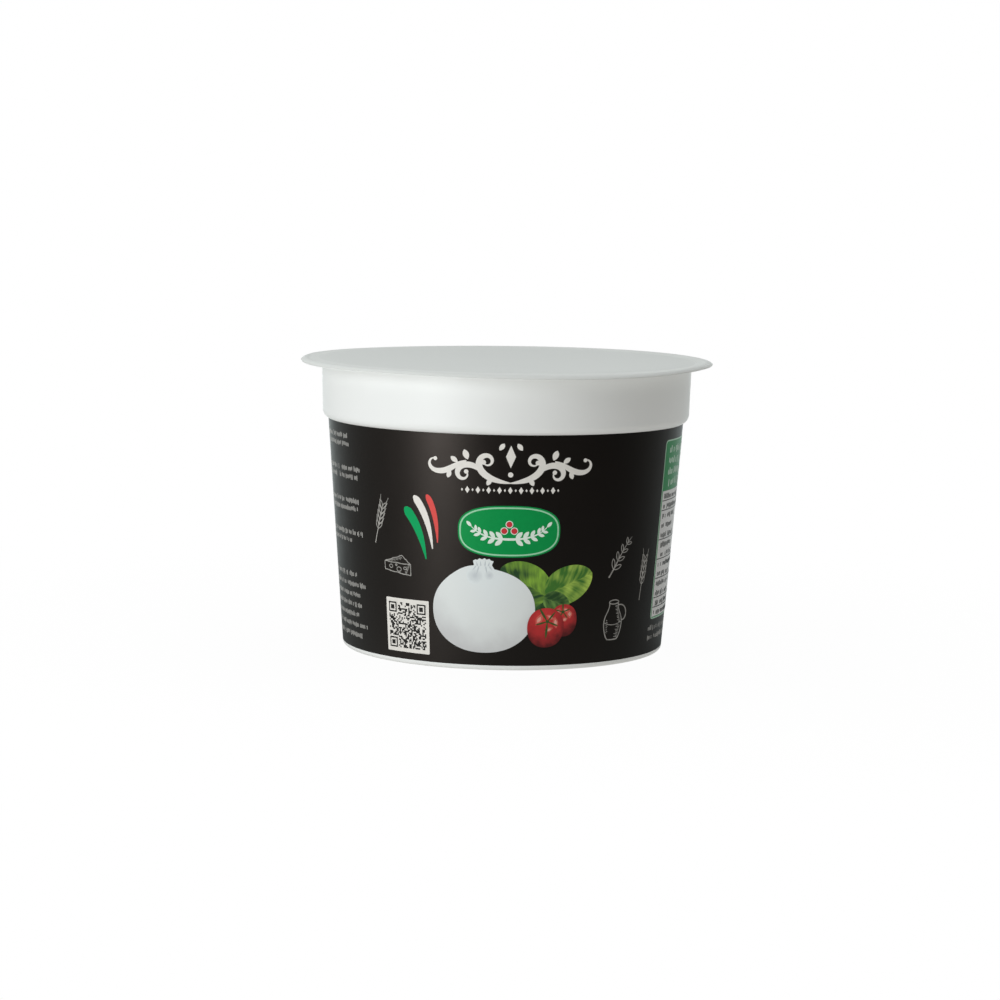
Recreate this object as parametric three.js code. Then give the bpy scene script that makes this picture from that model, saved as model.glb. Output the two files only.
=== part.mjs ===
// A sealed round tub of burrata, shut as it is sold: a white polypropylene tub with a tall
// stacking collar and a sealing flange, a peelable lidding film sealed flat across the flange,
// and a black printed label wrapped round the tapered wall and flush with it.
//
// Millimetres, +Z up. The origin is the centre of the foot, on the surface that the tub stands
// on, and the middle of the label's front faces -Y. The tub is shut and can't be seen into, so
// it is one solid with its contents. Every piece is turned round the Z axis. The thin flange and
// the film on it are then warped a little, as heat sealing leaves them.

import * as THREE from "three";

// Driving dimensions
const HEIGHT = 82; // foot to the top of the film, before the rim is warped
const FLANGE_RADIUS = 58.5; // half of a 117 mm sealing flange
const COLLAR_TOP_RADIUS = 52.5;
const COLLAR_FOOT_RADIUS = 52.15;
const LABEL_TOP = 65; // height of the label's upper edge, where the collar begins
const LABEL_TOP_RADIUS = 50.55;
const LABEL_FOOT = 1.4; // height of the label's lower edge
const LABEL_FOOT_RADIUS = 45.75;

// Thicknesses
const FILM = 0.2;
const FLANGE = 0.9;
const LABEL = 0.3;

// Roundings and the underside
const FLANGE_FILLET = 0.8; // between the collar and the flange's underside
const COLLAR_ROUNDING = 2.6; // under the collar, down to the label
const LIP_ROUNDING = 2.2; // over the flange's edge, to the top of the film
const LIP_END = 40; // where that rounding stops, in degrees above level
const FOOT_ROUNDING = 1.2;
const FOOT_RING = 2.6; // width of the flat ring that the tub stands on
const RECESS_DEPTH = 1;
const RECESS_SLOPE = 0.8; // how far the recess's side leans in
const GATE_RADIUS = 3; // the disc left by the moulding gate, in the middle of the underside
const GATE_HEIGHT = 0.4;

// What heat sealing does to the rim and the film
const FILM_DISH = 0.35; // how far the middle of the film lies under its rim
const RIM_SADDLE = 0.3; // how far the flange's edge rises and falls, twice round
const RIM_SADDLE_TURN = THREE.MathUtils.degToRad(36);
const RIM_LEAN = 0.25; // how far its back edge is up and its front edge down
const RIM_BENDS = [
  { turn: -20, rise: 0.6 }, // the edge is bent up a little to the right of the front, in degrees
  { turn: -152, rise: -0.4 }, // and down to the left of it
];
const BEND_SHORTNESS = 10; // the higher, the less of the edge a bend takes

// Fineness
const SEGMENTS = 96;
const FLANGE_RINGS = 3; // across the flange, where the film is warped
const MIDDLE_RINGS = 4; // from there to the axis, where it is only dished
const ARC_STEPS = 4;

const FLANGE_TOP = HEIGHT - FILM;
const FLANGE_FOOT = FLANGE_TOP - FLANGE;
const LIP_SINE = Math.sin(THREE.MathUtils.degToRad(LIP_END));
const SEAL_RADIUS = FLANGE_RADIUS - LIP_ROUNDING * Math.sqrt(1 - LIP_SINE ** 2); // where the lip begins
const LIP_MIDDLE = HEIGHT - LIP_ROUNDING; // height of the middle of the rounding
const WALL_LEAN = (LABEL_TOP_RADIUS - LABEL_FOOT_RADIUS) / (LABEL_TOP - LABEL_FOOT);

const point = (radius, height) => new THREE.Vector2(radius, height);

// Points along an arc round (radius, height), from one angle to another, both ends included.
function arc(radius, height, size, fromDegrees, toDegrees) {
  return Array.from({ length: ARC_STEPS + 1 }, (_, i) => {
    const turn = THREE.MathUtils.degToRad(fromDegrees + ((toDegrees - fromDegrees) * i) / ARC_STEPS);
    return point(radius + size * Math.cos(turn), height + size * Math.sin(turn));
  });
}

// The outer radius of the tapered wall and its label at a height.
const wallRadius = (height) => LABEL_FOOT_RADIUS + WALL_LEAN * (height - LABEL_FOOT);

// Points across the sealed top, from the seal's outer end in to the axis, dished in the middle.
function sealedTop(height) {
  const flangeStep = (SEAL_RADIUS - COLLAR_TOP_RADIUS) / FLANGE_RINGS;
  const middleStep = COLLAR_TOP_RADIUS / MIDDLE_RINGS;
  return Array.from({ length: FLANGE_RINGS + MIDDLE_RINGS + 1 }, (_, i) => {
    const inwards = i - FLANGE_RINGS;
    const radius = COLLAR_TOP_RADIUS - inwards * (inwards > 0 ? middleStep : flangeStep);
    const inside = Math.max(0, 1 - (radius / COLLAR_TOP_RADIUS) ** 2);
    return point(radius, height - FILM_DISH * inside);
  });
}

// How far the thin flange and the film on it are out of flat. The stiff collar holds the middle.
function rimWarp(x, y) {
  const outside = THREE.MathUtils.smoothstep(Math.hypot(x, y), COLLAR_TOP_RADIUS, FLANGE_RADIUS);
  const turn = Math.atan2(y, x);
  let rise = RIM_SADDLE * Math.sin(2 * turn + RIM_SADDLE_TURN) + RIM_LEAN * Math.sin(turn);
  for (const bend of RIM_BENDS) {
    const near = Math.max(0, Math.cos(turn - THREE.MathUtils.degToRad(bend.turn)));
    rise += bend.rise * near ** BEND_SHORTNESS;
  }
  return outside * rise;
}

// Turns a profile of (radius, height) points round the Z axis and warps the rim.
function turned(profile) {
  const geometry = new THREE.LatheGeometry(profile, SEGMENTS).rotateX(Math.PI / 2);
  const place = geometry.getAttribute("position");
  for (let i = 0; i < place.count; i++) {
    if (place.getZ(i) > LABEL_TOP) {
      place.setZ(i, place.getZ(i) + rimWarp(place.getX(i), place.getY(i)));
    }
  }
  return geometry;
}

function underside() {
  const standing = wallRadius(FOOT_ROUNDING) - FOOT_ROUNDING;
  const recess = standing - FOOT_RING - RECESS_SLOPE;
  return [
    point(0, RECESS_DEPTH - GATE_HEIGHT),
    point(GATE_RADIUS, RECESS_DEPTH - GATE_HEIGHT),
    point(GATE_RADIUS, RECESS_DEPTH),
    point(recess, RECESS_DEPTH),
    point(recess + RECESS_SLOPE, 0),
    ...arc(standing, FOOT_ROUNDING, FOOT_ROUNDING, -90, 0),
  ];
}

// The wall is set back by the label's thickness, so that the label lies flush in it.
function labelSeat() {
  return [
    point(wallRadius(LABEL_FOOT), LABEL_FOOT),
    point(wallRadius(LABEL_FOOT) - LABEL, LABEL_FOOT),
    point(wallRadius(LABEL_TOP) - LABEL, LABEL_TOP),
  ];
}

function collar() {
  const middle = COLLAR_FOOT_RADIUS - COLLAR_ROUNDING;
  const start = -Math.acos((LABEL_TOP_RADIUS - middle) / COLLAR_ROUNDING);
  const height = LABEL_TOP - COLLAR_ROUNDING * Math.sin(start);
  return arc(middle, height, COLLAR_ROUNDING, THREE.MathUtils.radToDeg(start), 0);
}

// The flange's edge is rounded over from the top, and rounded a little at its foot.
function flange() {
  const inner = COLLAR_TOP_RADIUS + FLANGE_FILLET;
  const lip = LIP_ROUNDING - FILM;
  const edge = (LIP_MIDDLE + lip * LIP_SINE - FLANGE_FOOT) / (1 + LIP_SINE);
  const out = (lip - edge) * Math.sqrt(1 - LIP_SINE ** 2);
  return [
    ...arc(inner, FLANGE_FOOT - FLANGE_FILLET, FLANGE_FILLET, 180, 90),
    ...arc(SEAL_RADIUS + out, FLANGE_FOOT + edge, edge, -90, LIP_END),
    ...arc(SEAL_RADIUS, LIP_MIDDLE, lip, LIP_END, 90).slice(1),
  ];
}

// Turns every face over, for a profile that is drawn the other way round.
function turnedOver(geometry) {
  const index = geometry.getIndex();
  for (let i = 0; i < index.count; i += 3) {
    const second = index.getX(i + 1);
    index.setX(i + 1, index.getX(i + 2));
    index.setX(i + 2, second);
  }
  return geometry;
}

function tubGeometry() {
  const [, ...top] = sealedTop(FLANGE_TOP); // the flange's own arc ends at the first point
  return turned([...underside(), ...labelSeat(), ...collar(), ...flange(), ...top]);
}

function labelGeometry() {
  const outline = [
    point(wallRadius(LABEL_FOOT) - LABEL, LABEL_FOOT),
    point(wallRadius(LABEL_FOOT), LABEL_FOOT),
    point(wallRadius(LABEL_TOP), LABEL_TOP),
    point(wallRadius(LABEL_TOP) - LABEL, LABEL_TOP),
  ];
  return turned([...outline, outline[0]]);
}

// The film's underside is drawn inwards, as the tub's top is, so that the quads of both split
// alike and the two warped faces meet exactly.
function filmGeometry() {
  return turnedOver(
    turned([
      ...sealedTop(HEIGHT).reverse(),
      ...arc(SEAL_RADIUS, LIP_MIDDLE, LIP_ROUNDING, 90, LIP_END).slice(1),
      ...arc(SEAL_RADIUS, LIP_MIDDLE, LIP_ROUNDING - FILM, LIP_END, 90),
      ...sealedTop(FLANGE_TOP).slice(1),
    ]),
  );
}

// White polypropylene, satin from the mould.
const tubMaterial = new THREE.MeshStandardMaterial({ color: 0xf1f3f2, roughness: 0.42, metalness: 0 });
// White lidding film, duller than the tub.
const filmMaterial = new THREE.MeshStandardMaterial({ color: 0xe6e7e5, roughness: 0.5, metalness: 0 });
// Black printed label under a satin varnish.
const labelMaterial = new THREE.MeshStandardMaterial({ color: 0x1a1817, roughness: 0.38, metalness: 0 });

function piece(name, geometry, material) {
  const mesh = new THREE.Mesh(geometry, material);
  mesh.name = name;
  return mesh;
}

const burrataTub = new THREE.Group();
burrataTub.add(
  piece("tub", tubGeometry(), tubMaterial),
  piece("label", labelGeometry(), labelMaterial),
  piece("lidding_film", filmGeometry(), filmMaterial),
);

export default burrataTub;
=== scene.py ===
"""A sealed tub of burrata: the moulded tub, the film sealed across its flange, the label round its
wall and everything that is printed on the label, in a plain studio.

Metres, +Z up. The tub stands on Z = 0 and the middle of the label's front faces -Y. What is
printed is drawn flat first, in millimetres, as complex numbers: the real part is the way round the
wall, to the right of the middle of the front, and the imaginary part is the height above the foot.
It is then wrapped round the tapered wall as a thin closed layer of ink."""

import cmath
import math

import bpy
from bpy.props import FloatProperty, FloatVectorProperty, PointerProperty
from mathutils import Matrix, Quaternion, Vector


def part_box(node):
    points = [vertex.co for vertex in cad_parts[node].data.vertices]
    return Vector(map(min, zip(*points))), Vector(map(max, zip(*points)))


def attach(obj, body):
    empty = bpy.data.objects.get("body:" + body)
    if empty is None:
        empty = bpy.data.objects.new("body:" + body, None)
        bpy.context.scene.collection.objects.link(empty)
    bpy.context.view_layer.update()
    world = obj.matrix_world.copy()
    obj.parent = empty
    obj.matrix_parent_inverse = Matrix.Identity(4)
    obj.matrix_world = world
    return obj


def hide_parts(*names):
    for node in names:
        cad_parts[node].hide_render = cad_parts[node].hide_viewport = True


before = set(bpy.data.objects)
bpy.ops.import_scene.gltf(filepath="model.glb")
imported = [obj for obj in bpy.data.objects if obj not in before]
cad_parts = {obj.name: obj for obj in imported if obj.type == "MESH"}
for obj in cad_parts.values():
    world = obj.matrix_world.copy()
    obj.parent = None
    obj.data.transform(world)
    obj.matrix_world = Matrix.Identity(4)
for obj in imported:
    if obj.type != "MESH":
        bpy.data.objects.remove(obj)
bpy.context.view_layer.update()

bl_info = {
    "name": "Sealed tub of burrata",
    "version": (1, 0, 0),
    "blender": (4, 5, 0),
    "location": "View3D > Sidebar > Burrata tub",
    "description": "Builds a sealed plastic tub with its lidding film and its printed label",
    "category": "Object",
}

MM = 0.001
BODY = "root"
_, FILM_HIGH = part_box("lidding_film")
LABEL_LOW, LABEL_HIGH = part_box("label")

# Fineness
TURNS = 288  # segments round the axis
ARC_STEPS = 10
SHARP = 35  # edges that are bent by more than this many degrees are drawn sharp

# The flange's edge and its bends, in degrees
LIP_END = 40  # where the rounding over the edge stops, above level
LIFT_TURN = -20  # where the edge is bent up, from +X
DROOP_TURN = -152  # where it is bent down
BEND_SHORTNESS = 10.0  # the higher, the less of the edge a bend takes

# The band of the film that the sealing head presses
BAND_INNER = 53.2 * MM
BAND_OUTER = 56.6 * MM
BAND_DEPTH = 0.08 * MM
BAND_EDGE = 0.3 * MM  # width of the band's sloping sides
RIB_PITCH = 0.5 * MM
RIBS_MIDDLE = 54.9 * MM
RIBS_REACH = 1.4 * MM  # the ribs stop a little before the band does

# Roundings and the underside
FLANGE_FILLET = 0.8 * MM
FOOT_RING = 2.6 * MM  # width of the flat ring that the tub stands on
RECESS_DEPTH = 1 * MM
RECESS_SLOPE = 0.8 * MM
GATE_RADIUS = 3 * MM  # the disc left by the moulding gate
GATE_FOOT = 0.6 * MM  # how high its flat lies over the foot
GATE_BEVEL = 0.4 * MM  # width of the bevel at its edge
GATE_BEVEL_RISE = 0.15 * MM

# What is printed, in millimetres on the label
PRINT_RADIUS = 48.0  # the radius at which the way round the wall is measured
INK = 0.02  # thickness of one layer of ink, drawn thicker than it is
LAYER = 0.03  # from one layer of ink to the next
SUNK = 0.004  # how deep a layer's foot lies in what is under it
OVERLAP = 0.001  # each stroke of a layer lies this much over the last
OVERLAPS = 8  # after so many strokes it starts again
COLUMN = 1.2  # widest flat strip of a plate that goes round the wall
TALLER = 0.45  # how much taller a tall mark is than the others
SMALL_MARK = (0.36, 1.0)  # width and height of a mark of the small print
HEADING = 1.5 + 56.2j
LOZENGE_ROW = 1.5 + 49.9j
PLAQUE = 1.45 + 38.6j
CHEESE = -5.4 + 16.3j
LARGE_TOMATO = 12.3 + 12.0j
SMALL_TOMATO = 17.5 + 13.9j
LEAF_LAYER = 0.4  # from one leaf to the next; the cheese and then the tomatoes lie over them
CHEESE_LAYER = 2.2
TOMATO_LAYER = 3.4
CODE_LEFT, CODE_RIGHT, CODE_FOOT, CODE_TOP = -36.0, -21.3, 3.4, 18.3
TABLE_LEFT, TABLE_RIGHT, TABLE_FOOT, TABLE_HEAD, TABLE_TOP = 52.7, 97.0, 11.0, 47.3, 61.7
SEAM = math.pi * PRINT_RADIUS  # the label's two ends meet at the middle of the back


def linear(code):
    """The linear colour of an sRGB hex value such as "F1F3F2"."""
    parts = [int(code[i : i + 2], 16) / 255 for i in (0, 2, 4)]
    return tuple(c / 12.92 if c <= 0.04045 else ((c + 0.055) / 1.055) ** 2.4 for c in parts)


def node(tree, kind, inputs=None, **settings):
    """Adds a node. inputs maps a socket's name or number to a value, a node or an output."""
    made = tree.nodes.new(kind)
    for name, value in settings.items():
        setattr(made, name, value)
    for name, value in (inputs or {}).items():
        if isinstance(value, bpy.types.Node):
            value = value.outputs[0]
        if isinstance(value, bpy.types.NodeSocket):
            tree.links.new(value, made.inputs[name])
        else:
            made.inputs[name].default_value = value
    return made


# Sizes and colours


class TubSizes(bpy.types.PropertyGroup):
    """Sizes of the tub, its film and its label."""

    height: FloatProperty(
        name="Height",
        description="From the foot to the top of the film, before the rim is warped",
        default=82 * MM,
        unit="LENGTH",
    )
    flange_radius: FloatProperty(
        name="Flange radius",
        description="Outer radius of the sealing flange",
        default=FILM_HIGH.x,
        unit="LENGTH",
    )
    flange: FloatProperty(
        name="Flange",
        description="Thickness of the sealing flange",
        default=0.9 * MM,
        unit="LENGTH",
    )
    film: FloatProperty(
        name="Film",
        description="Thickness of the lidding film",
        default=0.2 * MM,
        unit="LENGTH",
    )
    collar_top_radius: FloatProperty(
        name="Collar top radius",
        description="Radius of the collar under the flange",
        default=52.5 * MM,
        unit="LENGTH",
    )
    collar_foot_radius: FloatProperty(
        name="Collar foot radius",
        description="Radius of the collar above its rounding",
        default=52.15 * MM,
        unit="LENGTH",
    )
    collar_rounding: FloatProperty(
        name="Collar rounding",
        description="Radius of the rounding under the collar",
        default=2.6 * MM,
        unit="LENGTH",
    )
    label_top: FloatProperty(
        name="Label top",
        description="Height of the label's upper edge",
        default=LABEL_HIGH.z,
        unit="LENGTH",
    )
    label_top_radius: FloatProperty(
        name="Label top radius",
        description="Radius of the label's upper edge",
        default=LABEL_HIGH.x,
        unit="LENGTH",
    )
    label_foot: FloatProperty(
        name="Label foot",
        description="Height of the label's lower edge",
        default=LABEL_LOW.z,
        unit="LENGTH",
    )
    label_foot_radius: FloatProperty(
        name="Label foot radius",
        description="Radius of the label's lower edge",
        default=45.75 * MM,
        unit="LENGTH",
    )
    label: FloatProperty(
        name="Label",
        description="Thickness of the label",
        default=0.3 * MM,
        unit="LENGTH",
    )
    lip_rounding: FloatProperty(
        name="Lip rounding",
        description="Radius of the rounding over the flange's edge, to the top of the film",
        default=2.2 * MM,
        unit="LENGTH",
    )
    foot_rounding: FloatProperty(
        name="Foot rounding",
        description="Radius of the rounding at the foot",
        default=1.2 * MM,
        unit="LENGTH",
    )
    film_dish: FloatProperty(
        name="Film dish",
        description="How far the middle of the film lies under its rim",
        default=0.35 * MM,
        unit="LENGTH",
    )
    rim_saddle: FloatProperty(
        name="Rim saddle",
        description="How far the flange rises and falls, twice round",
        default=0.3 * MM,
        unit="LENGTH",
    )
    rim_saddle_turn: FloatProperty(
        name="Rim saddle turn",
        description="How far round the rise and fall is turned",
        default=math.radians(36),
        unit="ROTATION",
    )
    rim_lean: FloatProperty(
        name="Rim lean",
        description="How far the flange's back edge is up and its front edge down",
        default=0.25 * MM,
        unit="LENGTH",
    )
    rim_lift: FloatProperty(
        name="Rim lift",
        description="How far the flange's edge is bent up to the right of the front",
        default=0.6 * MM,
        unit="LENGTH",
    )
    rim_droop: FloatProperty(
        name="Rim droop",
        description="How far the flange's edge is bent down to the left of the front",
        default=0.4 * MM,
        unit="LENGTH",
    )


class PackColours(bpy.types.PropertyGroup):
    """Colours of the plastics and the inks."""

    tub: FloatVectorProperty(
        name="Tub", description="White plastic", default=linear("F1F4F3"), subtype="COLOR"
    )
    film: FloatVectorProperty(
        name="Film", description="White film", default=linear("DEE1DE"), subtype="COLOR"
    )
    black: FloatVectorProperty(
        name="Black", description="The label's ground", default=linear("171412"), subtype="COLOR"
    )
    white: FloatVectorProperty(
        name="White", description="White ink", default=linear("E9E7E1"), subtype="COLOR"
    )
    grey: FloatVectorProperty(
        name="Grey", description="Ink of the small print", default=linear("A9A8A4"), subtype="COLOR"
    )
    green: FloatVectorProperty(
        name="Green", description="Ink of the plaque", default=linear("00964A"), subtype="COLOR"
    )
    pale_green: FloatVectorProperty(
        name="Pale green", description="The plaque's line", default=linear("9EDCB4"), subtype="COLOR"
    )
    red: FloatVectorProperty(
        name="Red", description="The red stripe", default=linear("DE4843"), subtype="COLOR"
    )


class StudioSettings(bpy.types.PropertyGroup):
    """The camera's place and the strength of the light."""

    distance: FloatProperty(
        name="Distance",
        description="From the camera to the point that it looks at",
        default=849.8 * MM,
        unit="LENGTH",
    )
    elevation: FloatProperty(
        name="Elevation",
        description="How high above the horizon the camera stands",
        default=math.radians(6.756),
        unit="ROTATION",
    )
    roll: FloatProperty(
        name="Roll",
        description="How far the camera is turned round its own line of sight",
        default=math.radians(1.014),
        unit="ROTATION",
    )
    aim: FloatProperty(
        name="Aim",
        description="Height of the point that the camera looks at",
        default=40 * MM,
        unit="LENGTH",
    )
    lens: FloatProperty(
        name="Lens", description="Focal length, in millimetres", default=106.83, unit="CAMERA"
    )
    key: FloatProperty(
        name="Key", description="Power of the soft box", default=0.655, unit="POWER"
    )
    room: FloatProperty(
        name="Room", description="Brightness of the room's light", default=1.0, min=0.0
    )


# Shapes by Geometry Nodes

WALL_SOCKETS = (
    ("Foot Height", "Float"),
    ("Foot Radius", "Float"),
    ("Lean", "Float"),
    ("Print Radius", "Float"),
    ("Material", "Material"),
)


def new_tree(name, sockets):
    """A geometry node tree with one (name, kind) input for each size, and its two end nodes."""
    tree = bpy.data.node_groups.new(name, "GeometryNodeTree")
    tree.interface.new_socket("Geometry", in_out="INPUT", socket_type="NodeSocketGeometry")
    for label, kind in sockets:
        tree.interface.new_socket(label, in_out="INPUT", socket_type="NodeSocket" + kind)
    tree.interface.new_socket("Geometry", in_out="OUTPUT", socket_type="NodeSocketGeometry")
    return tree, tree.nodes.new("NodeGroupInput").outputs, tree.nodes.new("NodeGroupOutput").inputs


def turned_tree():
    """Turns a profile round the Z axis, and warps what is outside the collar. The points of the
    profile come in order, each at (0, -radius, height)."""
    tree, sizes, result = new_tree(
        "Turned round the axis",
        (
            ("Turns", "Int"),
            ("Warp Begins", "Float"),
            ("Warp Ends", "Float"),
            ("Saddle", "Float"),
            ("Saddle Turn", "Float"),
            ("Lean", "Float"),
            ("Lift", "Float"),
            ("Droop", "Float"),
            ("Material", "Material"),
        ),
    )
    rows = node(
        tree, "GeometryNodeAttributeDomainSize", {"Geometry": sizes["Geometry"]}, component="MESH"
    )
    columns = node(tree, "ShaderNodeMath", {0: sizes["Turns"], 1: 1.0}, operation="ADD")
    grid = node(
        tree,
        "GeometryNodeMeshGrid",
        {"Size X": 1.0, "Size Y": 1.0, "Vertices X": columns, "Vertices Y": rows},
    )
    index = node(tree, "GeometryNodeInputIndex")
    row = node(tree, "ShaderNodeMath", {0: index, 1: rows}, operation="MODULO")
    share = node(tree, "ShaderNodeMath", {0: index, 1: rows}, operation="DIVIDE")
    column = node(tree, "ShaderNodeMath", {0: share}, operation="FLOOR")
    step = node(tree, "ShaderNodeMath", {0: math.tau, 1: sizes["Turns"]}, operation="DIVIDE")
    turn = node(tree, "ShaderNodeMath", {0: column, 1: step}, operation="MULTIPLY")
    place = node(
        tree,
        "GeometryNodeSampleIndex",
        {
            "Geometry": sizes["Geometry"],
            "Value": node(tree, "GeometryNodeInputPosition"),
            "Index": row,
        },
        data_type="FLOAT_VECTOR",
    )
    spun = node(
        tree, "ShaderNodeVectorRotate", {"Vector": place, "Angle": turn}, rotation_type="Z_AXIS"
    )
    # The rise and fall go by the angle from +X, which is a quarter turn less than the turn.
    depth = node(tree, "ShaderNodeSeparateXYZ", {0: place}).outputs["Y"]
    outside = node(
        tree,
        "ShaderNodeMapRange",
        {
            "Value": node(tree, "ShaderNodeMath", {0: depth}, operation="ABSOLUTE"),
            "From Min": sizes["Warp Begins"],
            "From Max": sizes["Warp Ends"],
        },
        interpolation_type="SMOOTHSTEP",
    )
    angle = node(tree, "ShaderNodeMath", {0: turn, 1: math.pi / 2}, operation="SUBTRACT")
    twice = node(
        tree, "ShaderNodeMath", {0: angle, 1: 2.0, 2: sizes["Saddle Turn"]}, operation="MULTIPLY_ADD"
    )
    wave = node(tree, "ShaderNodeMath", {0: twice}, operation="SINE")
    saddle = node(tree, "ShaderNodeMath", {0: wave, 1: sizes["Saddle"]}, operation="MULTIPLY")
    tilt = node(tree, "ShaderNodeMath", {0: angle}, operation="SINE")
    rise = node(
        tree, "ShaderNodeMath", {0: tilt, 1: sizes["Lean"], 2: saddle}, operation="MULTIPLY_ADD"
    )
    for bend, middle, hand in (("Lift", LIFT_TURN, 1.0), ("Droop", DROOP_TURN, -1.0)):
        off = node(tree, "ShaderNodeMath", {0: angle, 1: math.radians(middle)}, operation="SUBTRACT")
        facing = node(tree, "ShaderNodeMath", {0: off}, operation="COSINE")
        near = node(tree, "ShaderNodeMath", {0: facing, 1: 0.0}, operation="MAXIMUM")
        short = node(tree, "ShaderNodeMath", {0: near, 1: BEND_SHORTNESS}, operation="POWER")
        size = node(tree, "ShaderNodeMath", {0: sizes[bend], 1: hand}, operation="MULTIPLY")
        rise = node(tree, "ShaderNodeMath", {0: short, 1: size, 2: rise}, operation="MULTIPLY_ADD")
    warp = node(tree, "ShaderNodeMath", {0: outside, 1: rise}, operation="MULTIPLY")
    moved = node(
        tree,
        "GeometryNodeSetPosition",
        {
            "Geometry": grid,
            "Position": spun,
            "Offset": node(tree, "ShaderNodeCombineXYZ", {"Z": warp}),
        },
    )
    closed = node(tree, "GeometryNodeMergeByDistance", {"Geometry": moved, "Distance": 0.001 * MM})
    smooth = node(tree, "GeometryNodeSetShadeSmooth", {"Geometry": closed})
    real = node(tree, "GeometryNodeRealizeInstances", {"Geometry": smooth})
    dressed = node(
        tree, "GeometryNodeSetMaterial", {"Geometry": real, "Material": sizes["Material"]}
    )
    tree.links.new(dressed.outputs[0], result[0])
    return tree


def wrapped_tree():
    """Wraps a flat print round the tapered wall. X is the way round, Z the height and -Y out."""
    tree, sizes, result = new_tree("Wrapped round the wall", WALL_SOCKETS)
    place = node(tree, "ShaderNodeSeparateXYZ", {0: node(tree, "GeometryNodeInputPosition")})
    rise = node(
        tree, "ShaderNodeMath", {0: place.outputs["Z"], 1: sizes["Foot Height"]}, operation="SUBTRACT"
    )
    wall = node(
        tree,
        "ShaderNodeMath",
        {0: rise, 1: sizes["Lean"], 2: sizes["Foot Radius"]},
        operation="MULTIPLY_ADD",
    )
    depth = node(tree, "ShaderNodeMath", {0: place.outputs["Y"], 1: wall}, operation="SUBTRACT")
    turn = node(
        tree, "ShaderNodeMath", {0: place.outputs["X"], 1: sizes["Print Radius"]}, operation="DIVIDE"
    )
    front = node(tree, "ShaderNodeCombineXYZ", {"Y": depth, "Z": place.outputs["Z"]})
    spun = node(
        tree, "ShaderNodeVectorRotate", {"Vector": front, "Angle": turn}, rotation_type="Z_AXIS"
    )
    moved = node(tree, "GeometryNodeSetPosition", {"Geometry": sizes["Geometry"], "Position": spun})
    smooth = node(tree, "GeometryNodeSetShadeSmooth", {"Geometry": moved})
    real = node(tree, "GeometryNodeRealizeInstances", {"Geometry": smooth})
    dressed = node(
        tree, "GeometryNodeSetMaterial", {"Geometry": real, "Material": sizes["Material"]}
    )
    tree.links.new(dressed.outputs[0], result[0])
    return tree


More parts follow.
